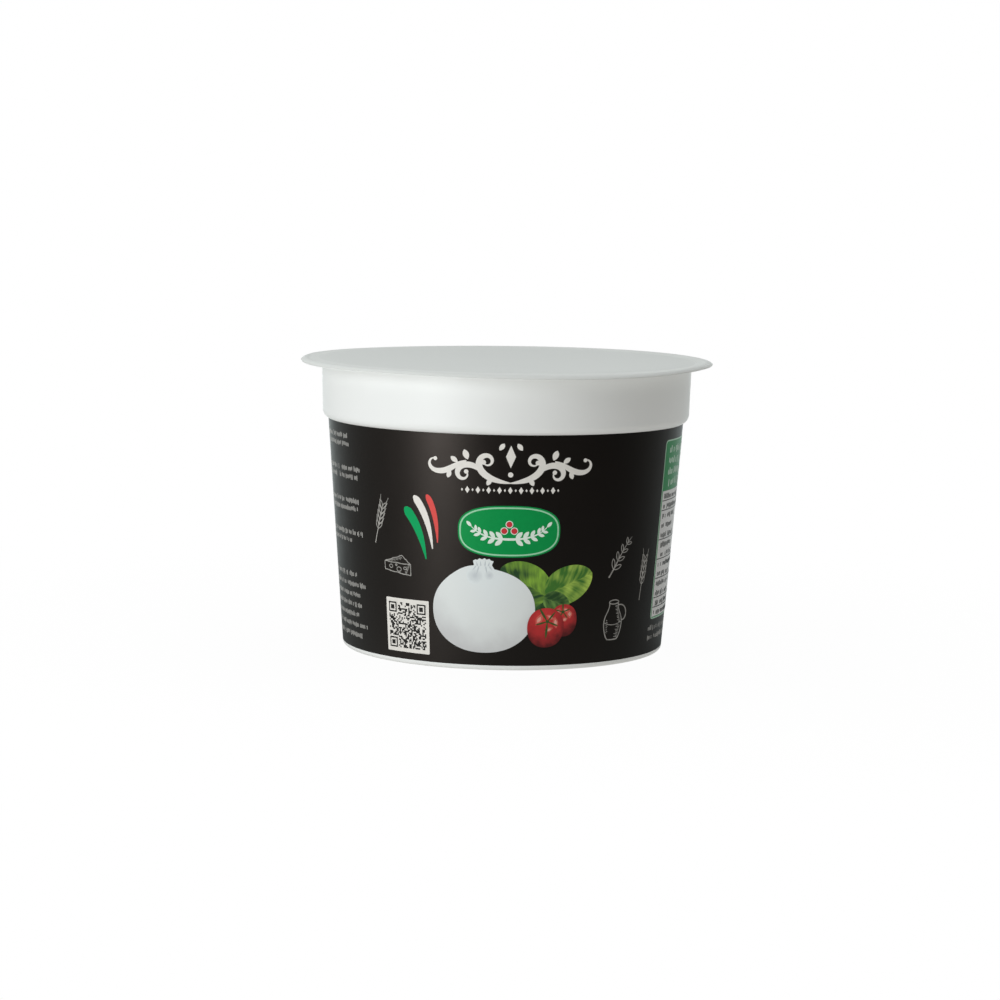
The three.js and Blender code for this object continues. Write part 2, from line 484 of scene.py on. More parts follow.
def marks_tree(wrapped):
    """Rows of small printed marks on the wall, with gaps between words, blank rows between
    paragraphs and ends that aren't in line. It also makes the squares of a code and its like."""
    tree, sizes, result = new_tree(
        "Marks in rows",
        (
            ("Rows", "Int"),
            ("Marks", "Int"),
            ("Row Pitch", "Float"),
            ("Mark Pitch", "Float"),
            ("Mark Size", "Vector"),
            ("Left", "Float"),
            ("Top", "Float"),
            ("Depth", "Float"),
            ("Gaps", "Float"),
            ("Tall", "Float"),
            ("Ragged", "Float"),
            ("Rows Together", "Int"),
            ("Rows Apart", "Int"),
            ("Seed", "Int"),
        )
        + WALL_SOCKETS,
    )
    index = node(tree, "GeometryNodeInputIndex")
    count = node(tree, "ShaderNodeMath", {0: sizes["Rows"], 1: sizes["Marks"]}, operation="MULTIPLY")
    column = node(tree, "ShaderNodeMath", {0: index, 1: sizes["Marks"]}, operation="MODULO")
    share = node(tree, "ShaderNodeMath", {0: index, 1: sizes["Marks"]}, operation="DIVIDE")
    row = node(tree, "ShaderNodeMath", {0: share}, operation="FLOOR")
    tall = node(
        tree,
        "FunctionNodeRandomValue",
        {"Probability": sizes["Tall"], "ID": index, "Seed": sizes["Seed"]},
        data_type="BOOLEAN",
    ).outputs[3]
    extra = node(tree, "ShaderNodeMath", {0: tall, 1: TALLER}, operation="MULTIPLY")
    height = node(tree, "ShaderNodeSeparateXYZ", {0: sizes["Mark Size"]}).outputs["Z"]
    grown = node(tree, "ShaderNodeMath", {0: extra, 1: height}, operation="MULTIPLY")
    across = node(
        tree,
        "ShaderNodeMath",
        {0: column, 1: sizes["Mark Pitch"], 2: sizes["Left"]},
        operation="MULTIPLY_ADD",
    )
    fall = node(tree, "ShaderNodeMath", {0: row, 1: sizes["Row Pitch"]}, operation="MULTIPLY")
    level = node(tree, "ShaderNodeMath", {0: sizes["Top"], 1: fall}, operation="SUBTRACT")
    middle = node(tree, "ShaderNodeMath", {0: grown, 1: 0.5, 2: level}, operation="MULTIPLY_ADD")
    place = node(tree, "ShaderNodeCombineXYZ", {"X": across, "Y": sizes["Depth"], "Z": middle})
    points = node(tree, "GeometryNodePoints", {"Count": count, "Position": place})
    seed = node(tree, "ShaderNodeMath", {0: sizes["Seed"], 1: 1.0}, operation="ADD")
    gap = node(
        tree,
        "FunctionNodeRandomValue",
        {"Probability": sizes["Gaps"], "ID": index, "Seed": seed},
        data_type="BOOLEAN",
    ).outputs[3]
    short = node(
        tree,
        "FunctionNodeRandomValue",
        {3: sizes["Ragged"], "ID": row, "Seed": sizes["Seed"]},
        data_type="FLOAT",
    ).outputs[1]
    kept = node(tree, "ShaderNodeMath", {0: 1.0, 1: short}, operation="SUBTRACT")
    end = node(tree, "ShaderNodeMath", {0: kept, 1: sizes["Marks"]}, operation="MULTIPLY")
    past = node(tree, "ShaderNodeMath", {0: column, 1: end}, operation="GREATER_THAN")
    together, apart = sizes["Rows Together"], sizes["Rows Apart"]
    group = node(tree, "ShaderNodeMath", {0: together, 1: apart}, operation="ADD")
    within = node(tree, "ShaderNodeMath", {0: row, 1: group}, operation="MODULO")
    last = node(tree, "ShaderNodeMath", {0: together, 1: 0.5}, operation="SUBTRACT")
    blank = node(tree, "ShaderNodeMath", {0: within, 1: last}, operation="GREATER_THAN")
    either = node(tree, "ShaderNodeMath", {0: past, 1: blank}, operation="MAXIMUM")
    unwanted = node(tree, "ShaderNodeMath", {0: either, 1: gap}, operation="MAXIMUM")
    left = node(
        tree,
        "GeometryNodeDeleteGeometry",
        {"Geometry": points, "Selection": unwanted},
        domain="POINT",
    )
    stretch = node(tree, "ShaderNodeMath", {0: extra, 1: 1.0}, operation="ADD")
    placed = node(
        tree,
        "GeometryNodeInstanceOnPoints",
        {
            "Points": left,
            "Instance": node(tree, "GeometryNodeMeshCube", {"Size": sizes["Mark Size"]}),
            "Scale": node(tree, "ShaderNodeCombineXYZ", {"X": 1.0, "Y": 1.0, "Z": stretch}),
        },
    )
    real = node(tree, "GeometryNodeRealizeInstances", {"Geometry": placed})
    wall = {label: sizes[label] for label, _ in WALL_SOCKETS}
    round_wall = node(tree, "GeometryNodeGroup", {}, node_tree=wrapped)
    for label, socket in {"Geometry": real.outputs[0], **wall}.items():
        tree.links.new(socket, round_wall.inputs[label])
    joined = node(tree, "GeometryNodeRealizeInstances", {"Geometry": round_wall})
    dressed = node(
        tree, "GeometryNodeSetMaterial", {"Geometry": joined, "Material": sizes["Material"]}
    )
    tree.links.new(dressed.outputs[0], result[0])
    return tree


def tree_named(name):
    """One of the three trees, made when it is first asked for."""
    if name not in bpy.data.node_groups:
        if name == "Turned round the axis":
            turned_tree()
        elif name == "Wrapped round the wall":
            wrapped_tree()
        else:
            marks_tree(tree_named("Wrapped round the wall"))
    return bpy.data.node_groups[name]


def piece_from(name, mesh, tree, inputs):
    """The piece that a tree makes of a mesh, as a plain mesh with its sharp edges marked."""
    source = bpy.data.objects.new(name + "_source", mesh)
    bpy.context.scene.collection.objects.link(source)
    nodes = source.modifiers.new("Shape", "NODES")
    nodes.node_group = tree
    for socket in tree.interface.items_tree:
        if socket.in_out == "INPUT" and socket.name in inputs:
            nodes[socket.identifier] = inputs[socket.name]
    shape = source.evaluated_get(bpy.context.evaluated_depsgraph_get())
    made = bpy.data.meshes.new_from_object(shape)
    bpy.data.objects.remove(source)
    if not made.polygons:
        raise RuntimeError(name + " came out empty")
    made.name = name
    made.set_sharp_from_angle(angle=math.radians(SHARP))
    piece = bpy.data.objects.new(name, made)
    bpy.context.scene.collection.objects.link(piece)
    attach(piece, BODY)
    return piece


def turned_piece(name, profile, material):
    """A piece turned from a profile of (radius, height) points and warped with the rim."""
    sizes = bpy.context.scene.tub_sizes
    mesh = bpy.data.meshes.new(name + "_profile")
    mesh.from_pydata([(0, -radius, height) for radius, height in profile], [], [])
    inputs = {
        "Turns": TURNS,
        "Warp Begins": sizes.collar_top_radius,
        "Warp Ends": sizes.flange_radius,
        "Saddle": sizes.rim_saddle,
        "Saddle Turn": sizes.rim_saddle_turn,
        "Lean": sizes.rim_lean,
        "Lift": sizes.rim_lift,
        "Droop": sizes.rim_droop,
        "Material": material,
    }
    return piece_from(name, mesh, tree_named("Turned round the axis"), inputs)


def wall_inputs(material):
    """What the trees that wrap a print need to know of the wall."""
    sizes = bpy.context.scene.tub_sizes
    rise = sizes.label_top - sizes.label_foot
    return {
        "Foot Height": sizes.label_foot,
        "Foot Radius": sizes.label_foot_radius,
        "Lean": (sizes.label_top_radius - sizes.label_foot_radius) / rise,
        "Print Radius": PRINT_RADIUS * MM,
        "Material": material,
    }


def printed(name, shapes, material, layer=0):
    """Flat shapes as one thin closed layer of ink on the label, over so many other layers. The
    map "flat" keeps where each point was drawn, in millimetres."""
    places = []
    faces = []
    for number, (points, patches) in enumerate(shapes):
        first = len(places)
        foot = layer * LAYER + number % OVERLAPS * OVERLAP
        for lift in (foot + INK, foot - SUNK):
            places += [(p.real, -lift, p.imag) for p in points]
        area = sum(
            (points[patch[i - 1]].conjugate() * points[patch[i]]).imag
            for patch in patches
            for i in range(len(patch))
        )
        if area < 0:
            patches = [patch[::-1] for patch in patches]
        under = len(points)
        sides = {(patch[i - 1], patch[i]) for patch in patches for i in range(len(patch))}
        for patch in patches:
            faces.append([first + i for i in patch])
            faces.append([first + under + i for i in patch[::-1]])
        for a, b in sorted(sides):
            if (b, a) not in sides:
                faces.append([first + i for i in (b, a, under + a, under + b)])
    mesh = bpy.data.meshes.new(name + "_flat")
    mesh.from_pydata([[c * MM for c in place] for place in places], [], faces)
    flat = mesh.uv_layers.new(name="flat")
    for loop in mesh.loops:
        flat.data[loop.index].uv = places[loop.vertex_index][0], places[loop.vertex_index][2]
    piece = piece_from(name, mesh, tree_named("Wrapped round the wall"), wall_inputs(material))


def marked(name, material, layer, **rows):
    """Rows of small marks as a layer of ink. The sizes are in millimetres."""
    inputs = wall_inputs(material)
    inputs["Depth"] = -(layer * LAYER + INK / 2) * MM
    width, height = rows["size"]
    inputs["Mark Size"] = Vector((width, INK, height)) * MM
    for label in ("Left", "Top", "Row Pitch", "Mark Pitch"):
        inputs[label] = rows[label.lower().replace(" ", "_")] * MM
    for label, usual in (("Gaps", 0.17), ("Tall", 0.3), ("Ragged", 0.0)):
        inputs[label] = float(rows.get(label.lower(), usual))
    for label in ("Rows", "Marks", "Seed"):
        inputs[label] = rows[label.lower()]
    inputs["Rows Together"] = rows.get("rows_together", rows["rows"])
    inputs["Rows Apart"] = rows.get("rows_apart", 1)
    mesh = bpy.data.meshes.new(name + "_rows")
    piece = piece_from(name, mesh, tree_named("Marks in rows"), inputs)


# Flat drawing. A flat shape is a pair: its points, and its faces as numbers of points.


def bezier(start, first, second, end, steps):
    """Points along a cubic curve, both ends included."""
    shares = [i / steps for i in range(steps + 1)]
    return [
        (1 - t) ** 3 * start + 3 * (1 - t) ** 2 * t * first + 3 * (1 - t) * t * t * second + t**3 * end
        for t in shares
    ]


def bent(start, heading, bends, length, steps):
    """A line that sets off at a heading in degrees and bends by so many radians per millimetre,
    from the first of the bends to the last."""
    points = [start]
    turn = math.radians(heading)
    for i in range(steps):
        share = (i + 0.5) / steps * (len(bends) - 1)
        k = int(share)
        turn += (bends[k] + (share - k) * (bends[k + 1] - bends[k])) * length / steps
        points.append(points[-1] + cmath.rect(length / steps, turn))
    return points


def oval(centre, across, up, squareness=2.0, steps=48):
    """The outline of an ellipse, or of a squarer one."""
    points = []
    for i in range(steps):
        turn = math.tau * i / steps
        x = math.copysign(abs(math.cos(turn)) ** (2 / squareness), math.cos(turn))
        y = math.copysign(abs(math.sin(turn)) ** (2 / squareness), math.sin(turn))
        points.append(centre + complex(across * x, up * y))
    return points


def stroke(line, width, closed=False):
    """A stroke along a line. The width is a number, or a function of the share of the way."""
    last = len(line) - 1
    points = []
    for i, place in enumerate(line):
        before = line[i - 1] if i or closed else place
        after = line[(i + 1) % len(line)] if i < last or closed else place
        way = (after - before) / abs(after - before)
        half = (width(i / last) if callable(width) else width) / 2
        points += [place - 1j * way * half, place + 1j * way * half]
    count = len(points)
    steps = len(line) if closed else last
    faces = [[2 * i, (2 * i + 2) % count, (2 * i + 3) % count, 2 * i + 1] for i in range(steps)]
    return points, faces


def filled(outline, rings):
    """A filled outline, in rings small enough to follow the wall."""
    centre = sum(outline) / len(outline)
    count = len(outline)
    points = [centre]
    points += [centre + (p - centre) * (r + 1) / rings for r in range(rings) for p in outline]
    faces = [[0, 1 + i, 1 + (i + 1) % count] for i in range(count)]
    for ring in range(rings - 1):
        a = 1 + ring * count
        b = a + count
        for i in range(count):
            j = (i + 1) % count
            faces.append([a + i, b + i, b + j, a + j])
    return points, faces


def plate(left, right, foot, top, corner=0.0):
    """A rectangle with rounded corners, in columns narrow enough to follow the wall."""
    inner = right - left - 2 * corner
    steps = max(1, math.ceil(inner / COLUMN))
    bends = [corner * (1 - math.cos(math.pi / 12 * k)) for k in range(6)] if corner else []
    across = [left + bend for bend in bends]
    across += [left + corner + inner * k / steps for k in range(steps + 1)]
    across += [right - bend for bend in reversed(bends)]
    points = []
    for x in across:
        inside = max(0.0, corner - min(x - left, right - x))
        cut = corner - math.sqrt(max(0.0, corner**2 - inside**2))
        points += [complex(x, foot + cut), complex(x, top - cut)]
    faces = [[2 * k, 2 * k + 2, 2 * k + 3, 2 * k + 1] for k in range(len(across) - 1)]
    return points, faces


def drop(foot, way, length, plump=0.42):
    """A small leaf: pointed at both ends."""
    along = cmath.rect(length, math.radians(way))
    side = along * 1j * plump
    tip = foot + along
    out = bezier(foot, foot + 0.35 * along + side, foot + 0.8 * along + 0.8 * side, tip, 8)
    back = bezier(tip, foot + 0.8 * along - 0.8 * side, foot + 0.35 * along - side, foot, 8)
    return out[:-1] + back[:-1]


def swelling(thin, thick, peak):
    """A pen's width that swells to its thickest at a share of the way and thins out again."""
    power = math.log(0.5) / math.log(peak)
    return lambda share: thin + (thick - thin) * math.sin(math.pi * share**power) ** 1.2


def moved(shapes, by, size=1.0):
    """Flat shapes, sized and moved."""
    return [([p * size + by for p in points], faces) for points, faces in shapes]


def with_mirrored(shapes):
    """Flat shapes and their mirror images to the left."""
    return shapes + [([-p.conjugate() for p in points], faces) for points, faces in shapes]


# Materials


def new_material(name, settings):
    """A material of one Principled shader with these settings."""
    made = bpy.data.materials.new(name)
    made.use_nodes = True
    made.node_tree.nodes.clear()
    shader = node(made.node_tree, "ShaderNodeBsdfPrincipled", settings)
    node(made.node_tree, "ShaderNodeOutputMaterial", {"Surface": shader})
    return made, made.node_tree, shader


def varnish(tree, shader):
    """The satin varnish over the whole label, which takes the mould's fine orange peel: dimples
    about 0.7 mm across that break the edge of a highlight, and gloss that varies a little."""
    place = node(tree, "ShaderNodeTexCoord").outputs["Object"]
    peel = node(
        tree, "ShaderNodeTexNoise", {"Vector": place, "Scale": 1100.0, "Detail": 2.0, "Roughness": 0.6}
    )
    bump = node(
        tree, "ShaderNodeBump", {"Strength": 0.5, "Distance": 0.02 * MM, "Height": peel}
    )
    tree.links.new(bump.outputs[0], shader.inputs["Normal"])
    patches = node(tree, "ShaderNodeTexNoise", {"Vector": place, "Scale": 180.0, "Detail": 3.0})
    rough = node(
        tree, "ShaderNodeMapRange", {"Value": patches, "To Min": 0.35, "To Max": 0.45}
    )
    tree.links.new(rough.outputs[0], shader.inputs["Roughness"])


def ink(name, colour, uneven=0.05, tint=(1.0, 1.0, 1.0)):
    """Offset ink under the label's varnish. Its tone is a little uneven, as ink lies on plastic."""
    made, tree, shader = new_material(name, {"IOR": 1.5, "Specular Tint": (*tint, 1)})
    place = node(tree, "ShaderNodeTexCoord").outputs["Object"]
    tone = node(tree, "ShaderNodeTexNoise", {"Vector": place, "Scale": 900.0, "Detail": 3.0})
    dull = tuple(c * (1 - 2 * uneven) for c in colour)
    rich = tuple(min(1.0, c * (1 + uneven)) for c in colour)
    mixed = node(
        tree, "ShaderNodeMix", {0: tone, 6: (*dull, 1), 7: (*rich, 1)}, data_type="RGBA"
    )
    tree.links.new(mixed.outputs[2], shader.inputs["Base Color"])
    varnish(tree, shader)
    return made


def picture_ink(name, light, body, dark, centre, reach, grain, grain_size):
    """Process inks of a printed picture: light near one point, then its own colour, then dark at
    its far edge, with soft blotches of the grain's size. The distances are in millimetres on the
    label, and the grain says how much of the reach the blotches shift the tones by."""
    made, tree, shader = new_material(name, {"IOR": 1.5, "Specular IOR Level": 0.5})
    flat = node(tree, "ShaderNodeUVMap", uv_map="flat")
    away = node(
        tree,
        "ShaderNodeVectorMath",
        {0: flat, 1: (centre.real, centre.imag, 0)},
        operation="SUBTRACT",
    )
    far = node(tree, "ShaderNodeVectorMath", {0: away}, operation="LENGTH").outputs["Value"]
    share = node(tree, "ShaderNodeMath", {0: far, 1: reach}, operation="DIVIDE")
    blotch = node(
        tree, "ShaderNodeTexNoise", {"Vector": flat, "Scale": 1 / grain_size, "Detail": 3.0}
    )
    shift = node(tree, "ShaderNodeMath", {0: blotch, 1: 0.5}, operation="SUBTRACT")
    depth = node(
        tree, "ShaderNodeMath", {0: shift, 1: 2 * grain, 2: share}, operation="MULTIPLY_ADD"
    )
    near = node(
        tree,
        "ShaderNodeMapRange",
        {"Value": depth, "From Min": 0.0, "From Max": 0.5},
        interpolation_type="SMOOTHSTEP",
    )
    beyond = node(
        tree,
        "ShaderNodeMapRange",
        {"Value": depth, "From Min": 0.45, "From Max": 1.0},
        interpolation_type="SMOOTHSTEP",
    )
    inner = node(
        tree, "ShaderNodeMix", {0: near, 6: (*light, 1), 7: (*body, 1)}, data_type="RGBA"
    )
    outer = node(
        tree, "ShaderNodeMix", {0: beyond, 6: inner.outputs[2], 7: (*dark, 1)}, data_type="RGBA"
    )
    tree.links.new(outer.outputs[2], shader.inputs["Base Color"])
    varnish(tree, shader)
    return made


def leaf_ink(name, light, dark, foot, way, length, slope, slant):
    """Process inks of a printed basil leaf: lighter or darker towards its tip by the slope, and
    to the left of its rib by the slant for each millimetre, with light patches about 4 mm across
    and streaks about 1 mm wide, as its side ribs catch the light."""
    made, tree, shader = new_material(name, {"IOR": 1.5})
    own = node(
        tree,
        "ShaderNodeMapping",
        {
            "Vector": node(tree, "ShaderNodeUVMap", uv_map="flat"),
            "Location": (foot.real, foot.imag, 0),
            "Rotation": (0, 0, math.radians(way)),
        },
        vector_type="TEXTURE",
    )
    axes = node(tree, "ShaderNodeSeparateXYZ", {0: own}).outputs
    # The streaks sweep forwards from the rib, less and less steeply, and each half has its own.
    side = node(tree, "ShaderNodeMath", {0: axes["Y"]}, operation="ABSOLUTE")
    curve = node(tree, "ShaderNodeMath", {0: side, 1: 0.75}, operation="POWER")
    swept = node(tree, "ShaderNodeMath", {0: curve, 1: -1.3, 2: axes["X"]}, operation="MULTIPLY_ADD")
    half = node(tree, "ShaderNodeMath", {0: axes["Y"], 1: 0.0}, operation="GREATER_THAN")
    along_rib = node(tree, "ShaderNodeMath", {0: side, 1: 0.3}, operation="MULTIPLY")
    other = node(tree, "ShaderNodeMath", {0: half, 1: 7.0}, operation="MULTIPLY")
    ribs = node(tree, "ShaderNodeCombineXYZ", {0: swept, 1: along_rib, 2: other})
    streaks = node(tree, "ShaderNodeTexNoise", {"Vector": ribs, "Scale": 0.65, "Detail": 3.0})
    patches = node(tree, "ShaderNodeTexNoise", {"Vector": own, "Scale": 0.22, "Detail": 1.0})
    rib = node(
        tree,
        "ShaderNodeMapRange",
        {"Value": side, "From Min": 0.08, "From Max": 0.3, "To Min": 0.1, "To Max": 0.0},
        interpolation_type="SMOOTHSTEP",
    )
    low = -1.45 - slope / 2  # three tenths of the way from dark to light, half way along
    rise = node(
        tree, "ShaderNodeMath", {0: axes["X"], 1: slope / length, 2: low}, operation="MULTIPLY_ADD"
    )
    tone = node(tree, "ShaderNodeMath", {0: streaks, 1: 1.9, 2: rise}, operation="MULTIPLY_ADD")
    tone = node(tree, "ShaderNodeMath", {0: patches, 1: 1.6, 2: tone}, operation="MULTIPLY_ADD")
    tone = node(tree, "ShaderNodeMath", {0: axes["Y"], 1: slant, 2: tone}, operation="MULTIPLY_ADD")
    tone = node(tree, "ShaderNodeMath", {0: tone, 1: rib}, operation="ADD")
    share = node(tree, "ShaderNodeClamp", {"Value": tone})
    green = node(
        tree, "ShaderNodeMix", {0: share, 6: (*dark, 1), 7: (*light, 1)}, data_type="RGBA"
    )
    tree.links.new(green.outputs[2], shader.inputs["Base Color"])
    varnish(tree, shader)
    return made


def moulded_polypropylene():
    """White polypropylene, injection moulded: satin from a lightly eroded mould, with shallow
    flow marks and faint clouding where the plastic is thicker."""
    colour = bpy.context.scene.pack_colours.tub
    made, tree, shader = new_material(
        "Injection moulded polypropylene, white", {"IOR": 1.49, "Specular IOR Level": 0.5}
    )
    place = node(tree, "ShaderNodeTexCoord").outputs["Object"]
    cloud = node(tree, "ShaderNodeTexNoise", {"Vector": place, "Scale": 60.0, "Detail": 2.0})
    shade = tuple(c * 0.965 for c in colour)
    mixed = node(
        tree, "ShaderNodeMix", {0: cloud, 6: (*shade, 1), 7: (*colour, 1)}, data_type="RGBA"
    )
    tree.links.new(mixed.outputs[2], shader.inputs["Base Color"])
    # The mould's texture is about 0.2 mm; drawn at 0.45 mm so that it shows.
    grain = node(
        tree, "ShaderNodeTexNoise", {"Vector": place, "Scale": 2200.0, "Detail": 2.0}
    )
    flow = node(
        tree,
        "ShaderNodeTexNoise",
        {
            "Vector": node(tree, "ShaderNodeMapping", {"Vector": place, "Scale": (1, 1, 3)}),
            "Scale": 90.0,
            "Detail": 1.0,
        },
    )
    fine = node(tree, "ShaderNodeBump", {"Strength": 0.25, "Distance": 0.01 * MM, "Height": grain})
    wavy = node(
        tree,
        "ShaderNodeBump",
        {"Strength": 0.3, "Distance": 0.05 * MM, "Height": flow, "Normal": fine},
    )
    tree.links.new(wavy.outputs[0], shader.inputs["Normal"])
    rough = node(tree, "ShaderNodeMapRange", {"Value": flow, "To Min": 0.40, "To Max": 0.50})
    tree.links.new(rough.outputs[0], shader.inputs["Roughness"])
    return made


def sealed_film():
    """White polyester lidding film, heat sealed: smoother than the tub, slack in the middle and
    with the sealing head's fine ribs pressed into the band on the flange."""
    colour = bpy.context.scene.pack_colours.film
    made, tree, shader = new_material(
        "Heat sealed polyester film, white", {"IOR": 1.45, "Specular IOR Level": 0.5}
    )
    place = node(tree, "ShaderNodeTexCoord").outputs["Object"]
    level = node(tree, "ShaderNodeVectorMath", {0: place, 1: (1, 1, 0)}, operation="MULTIPLY")
    out = node(tree, "ShaderNodeVectorMath", {0: level}, operation="LENGTH").outputs["Value"]
    slack = node(tree, "ShaderNodeTexNoise", {"Vector": place, "Scale": 28.0, "Detail": 2.0})
    inside = node(
        tree,
        "ShaderNodeMapRange",
        {"Value": out, "From Min": 50 * MM, "From Max": 54 * MM, "To Min": 1.0, "To Max": 0.0},
        interpolation_type="SMOOTHSTEP",
    )
    sagging = node(tree, "ShaderNodeMath", {0: slack, 1: inside}, operation="MULTIPLY")
    soft = node(
        tree, "ShaderNodeBump", {"Strength": 0.6, "Distance": 0.35 * MM, "Height": sagging}
    )
    wave = node(tree, "ShaderNodeMath", {0: out, 1: math.tau / RIB_PITCH}, operation="MULTIPLY")
    ribs = node(tree, "ShaderNodeMath", {0: wave}, operation="SINE")
    band = node(
        tree, "ShaderNodeMath", {0: out, 1: RIBS_MIDDLE, 2: RIBS_REACH}, operation="COMPARE"
    )
    pressed = node(tree, "ShaderNodeMath", {0: ribs, 1: band}, operation="MULTIPLY")
    bump = node(
        tree,
        "ShaderNodeBump",
        {"Strength": 0.5, "Distance": 0.03 * MM, "Height": pressed, "Normal": soft},
    )
    tree.links.new(bump.outputs[0], shader.inputs["Normal"])
    # The sealed band is a little brighter, because the white flange lies right behind it.
    shade = tuple(c * 0.95 for c in colour)
    mixed = node(
        tree, "ShaderNodeMix", {0: slack, 6: (*shade, 1), 7: (*colour, 1)}, data_type="RGBA"
    )
    bright = tuple(min(1.0, c * 1.03) for c in colour)
    tone = node(
        tree, "ShaderNodeMix", {0: band, 6: mixed.outputs[2], 7: (*bright, 1)}, data_type="RGBA"
    )
    tree.links.new(tone.outputs[2], shader.inputs["Base Color"])
    rough = node(tree, "ShaderNodeMapRange", {"Value": slack, "To Min": 0.55, "To Max": 0.68})
    tree.links.new(rough.outputs[0], shader.inputs["Roughness"])
    return made


# How bright the room is in a reflection: degrees round from the front, and brightness
WALLS = (
    (-180, 0.7), (-173, 0.9), (-166, 2.5), (-153, 0.95), (-140, 0.6), (-125, 0.33), (-105, 0.16),
    (-75, 0.12), (-58, 0.14), (-42, 0.24), (-25, 0.10), (-8, 0.02), (70, 0.03), (84, 0.05),
    (100, 0.12), (118, 0.22), (132, 0.40), (145, 0.65), (156, 1.0), (166, 2.5), (173, 0.9),
    (180, 0.7),
)
BRIGHTEST = max(level for _, level in WALLS)
WALL_WHITE = linear("DBE7E7")  # cool, next to the warmer soft box
# Tint of the painted reflection that the floor glows with in the tub's gloss
SWEEP_SHEEN = linear("F2FFFF")


def walls(tree, way):
    """How bright the room is in a reflection, by the way round from the front in degrees."""
    axes = node(tree, "ShaderNodeSeparateXYZ", {0: way}).outputs
    front = node(tree, "ShaderNodeMath", {0: axes["Y"], 1: -1.0}, operation="MULTIPLY")
    turn = node(tree, "ShaderNodeMath", {0: axes["X"], 1: front}, operation="ARCTAN2")
    share = node(
        tree, "ShaderNodeMapRange", {"Value": turn, "From Min": -math.pi, "From Max": math.pi}
    )
    bright = node(tree, "ShaderNodeValToRGB", {0: share})
    stops = bright.color_ramp.elements
    while len(stops) < len(WALLS):
        stops.new(0.5)
    for stop, (degrees, level) in zip(stops, WALLS):
        stop.position = (degrees + 180) / 360
        stop.color = (level / BRIGHTEST, level / BRIGHTEST, level / BRIGHTEST, 1)
    return node(tree, "ShaderNodeMath", {0: bright, 1: BRIGHTEST}, operation="MULTIPLY").outputs[0]


def studio_floor():
    """White paper sweep. The camera sees it almost white, with the soft shadow of the foot. What it
    throws back on the tub is not its own lit paper but a glow: a painted bounce light, kept lower, and a
    painted reflection of the room, lower still, brighter near the foot."""
    made = bpy.data.materials.new("Paper sweep, white")
    made.use_nodes = True
    tree = made.node_tree
    tree.nodes.clear()
    seen_by = node(tree, "ShaderNodeLightPath").outputs
    paper = node(tree, "ShaderNodeBsdfDiffuse", {"Color": (0.9, 0.9, 0.9, 1)})
    white = node(tree, "ShaderNodeEmission", {"Strength": 1.0})
    # Painted bounce light: the floor glows on the tub for diffuse rays
    bounce_glow = node(tree, "ShaderNodeEmission", {"Color": (*linear("FAF7F2"), 1), "Strength": 0.70})
    place = node(tree, "ShaderNodeTexCoord").outputs["Object"]
    out = node(tree, "ShaderNodeVectorMath", {0: place}, operation="LENGTH").outputs["Value"]
    near = node(
        tree,
        "ShaderNodeMapRange",
        {"Value": out, "From Min": 0.05, "From Max": 0.2, "To Min": 0.12, "To Max": 0.0},
        interpolation_type="SMOOTHSTEP",
    )
    # Painted reflection: the room's walls, and a brighter patch near the foot, glowing for glossy rays
    sheen = node(tree, "ShaderNodeMath", {0: walls(tree, place), 1: near}, operation="ADD")
    mirror = node(tree, "ShaderNodeEmission", {"Strength": sheen, "Color": (*SWEEP_SHEEN, 1)})
    away = node(
        tree,
        "ShaderNodeMapRange",
        {"Value": out, "From Min": 0.05, "From Max": 0.25, "To Min": 0.965, "To Max": 1.0},
        interpolation_type="SMOOTHSTEP",
    )
    seen = node(tree, "ShaderNodeMixShader", {0: away, 1: paper, 2: white})
    unseen = node(tree, "ShaderNodeMixShader", {0: seen_by["Is Glossy Ray"], 1: bounce_glow, 2: mirror})
    either = node(tree, "ShaderNodeMixShader", {0: seen_by["Is Camera Ray"], 1: unseen, 2: seen})
    node(tree, "ShaderNodeOutputMaterial", {"Surface": either})
    return made


# Operators


def wall(height):
    """The outer radius of the tapered wall and its label at a height."""
    sizes = bpy.context.scene.tub_sizes
    share = (height - sizes.label_foot) / (sizes.label_top - sizes.label_foot)
    return sizes.label_foot_radius + (sizes.label_top_radius - sizes.label_foot_radius) * share


def arc(radius, height, size, first, last):
    """Points along an arc round (radius, height), from one angle in degrees to another."""
    turns = [math.radians(first + (last - first) * i / ARC_STEPS) for i in range(ARC_STEPS + 1)]
    return [(radius + size * math.cos(t), height + size * math.sin(t)) for t in turns]


def lip(size):
    """The rounding over the flange's edge, from its foot to the flat top. The film's is the lip's
    own size, and the flange's is smaller by the film's thickness."""
    sizes = bpy.context.scene.tub_sizes
    middle = sizes.flange_radius - sizes.lip_rounding * math.cos(math.radians(LIP_END))
    return arc(middle, sizes.height - sizes.lip_rounding, size, LIP_END, 90)


def sealed_top(height, outer):
    """Points across the sealed top, from the flange in to the axis, dished in the middle."""
    sizes = bpy.context.scene.tub_sizes
    collar = sizes.collar_top_radius
    radii = [outer + (collar - outer) * i / 12 for i in range(12)]
    radii += [collar * (1 - i / 24) for i in range(25)]
    dish = sizes.film_dish
    return [(r, height - dish * max(0.0, 1 - (r / collar) ** 2)) for r in radii]


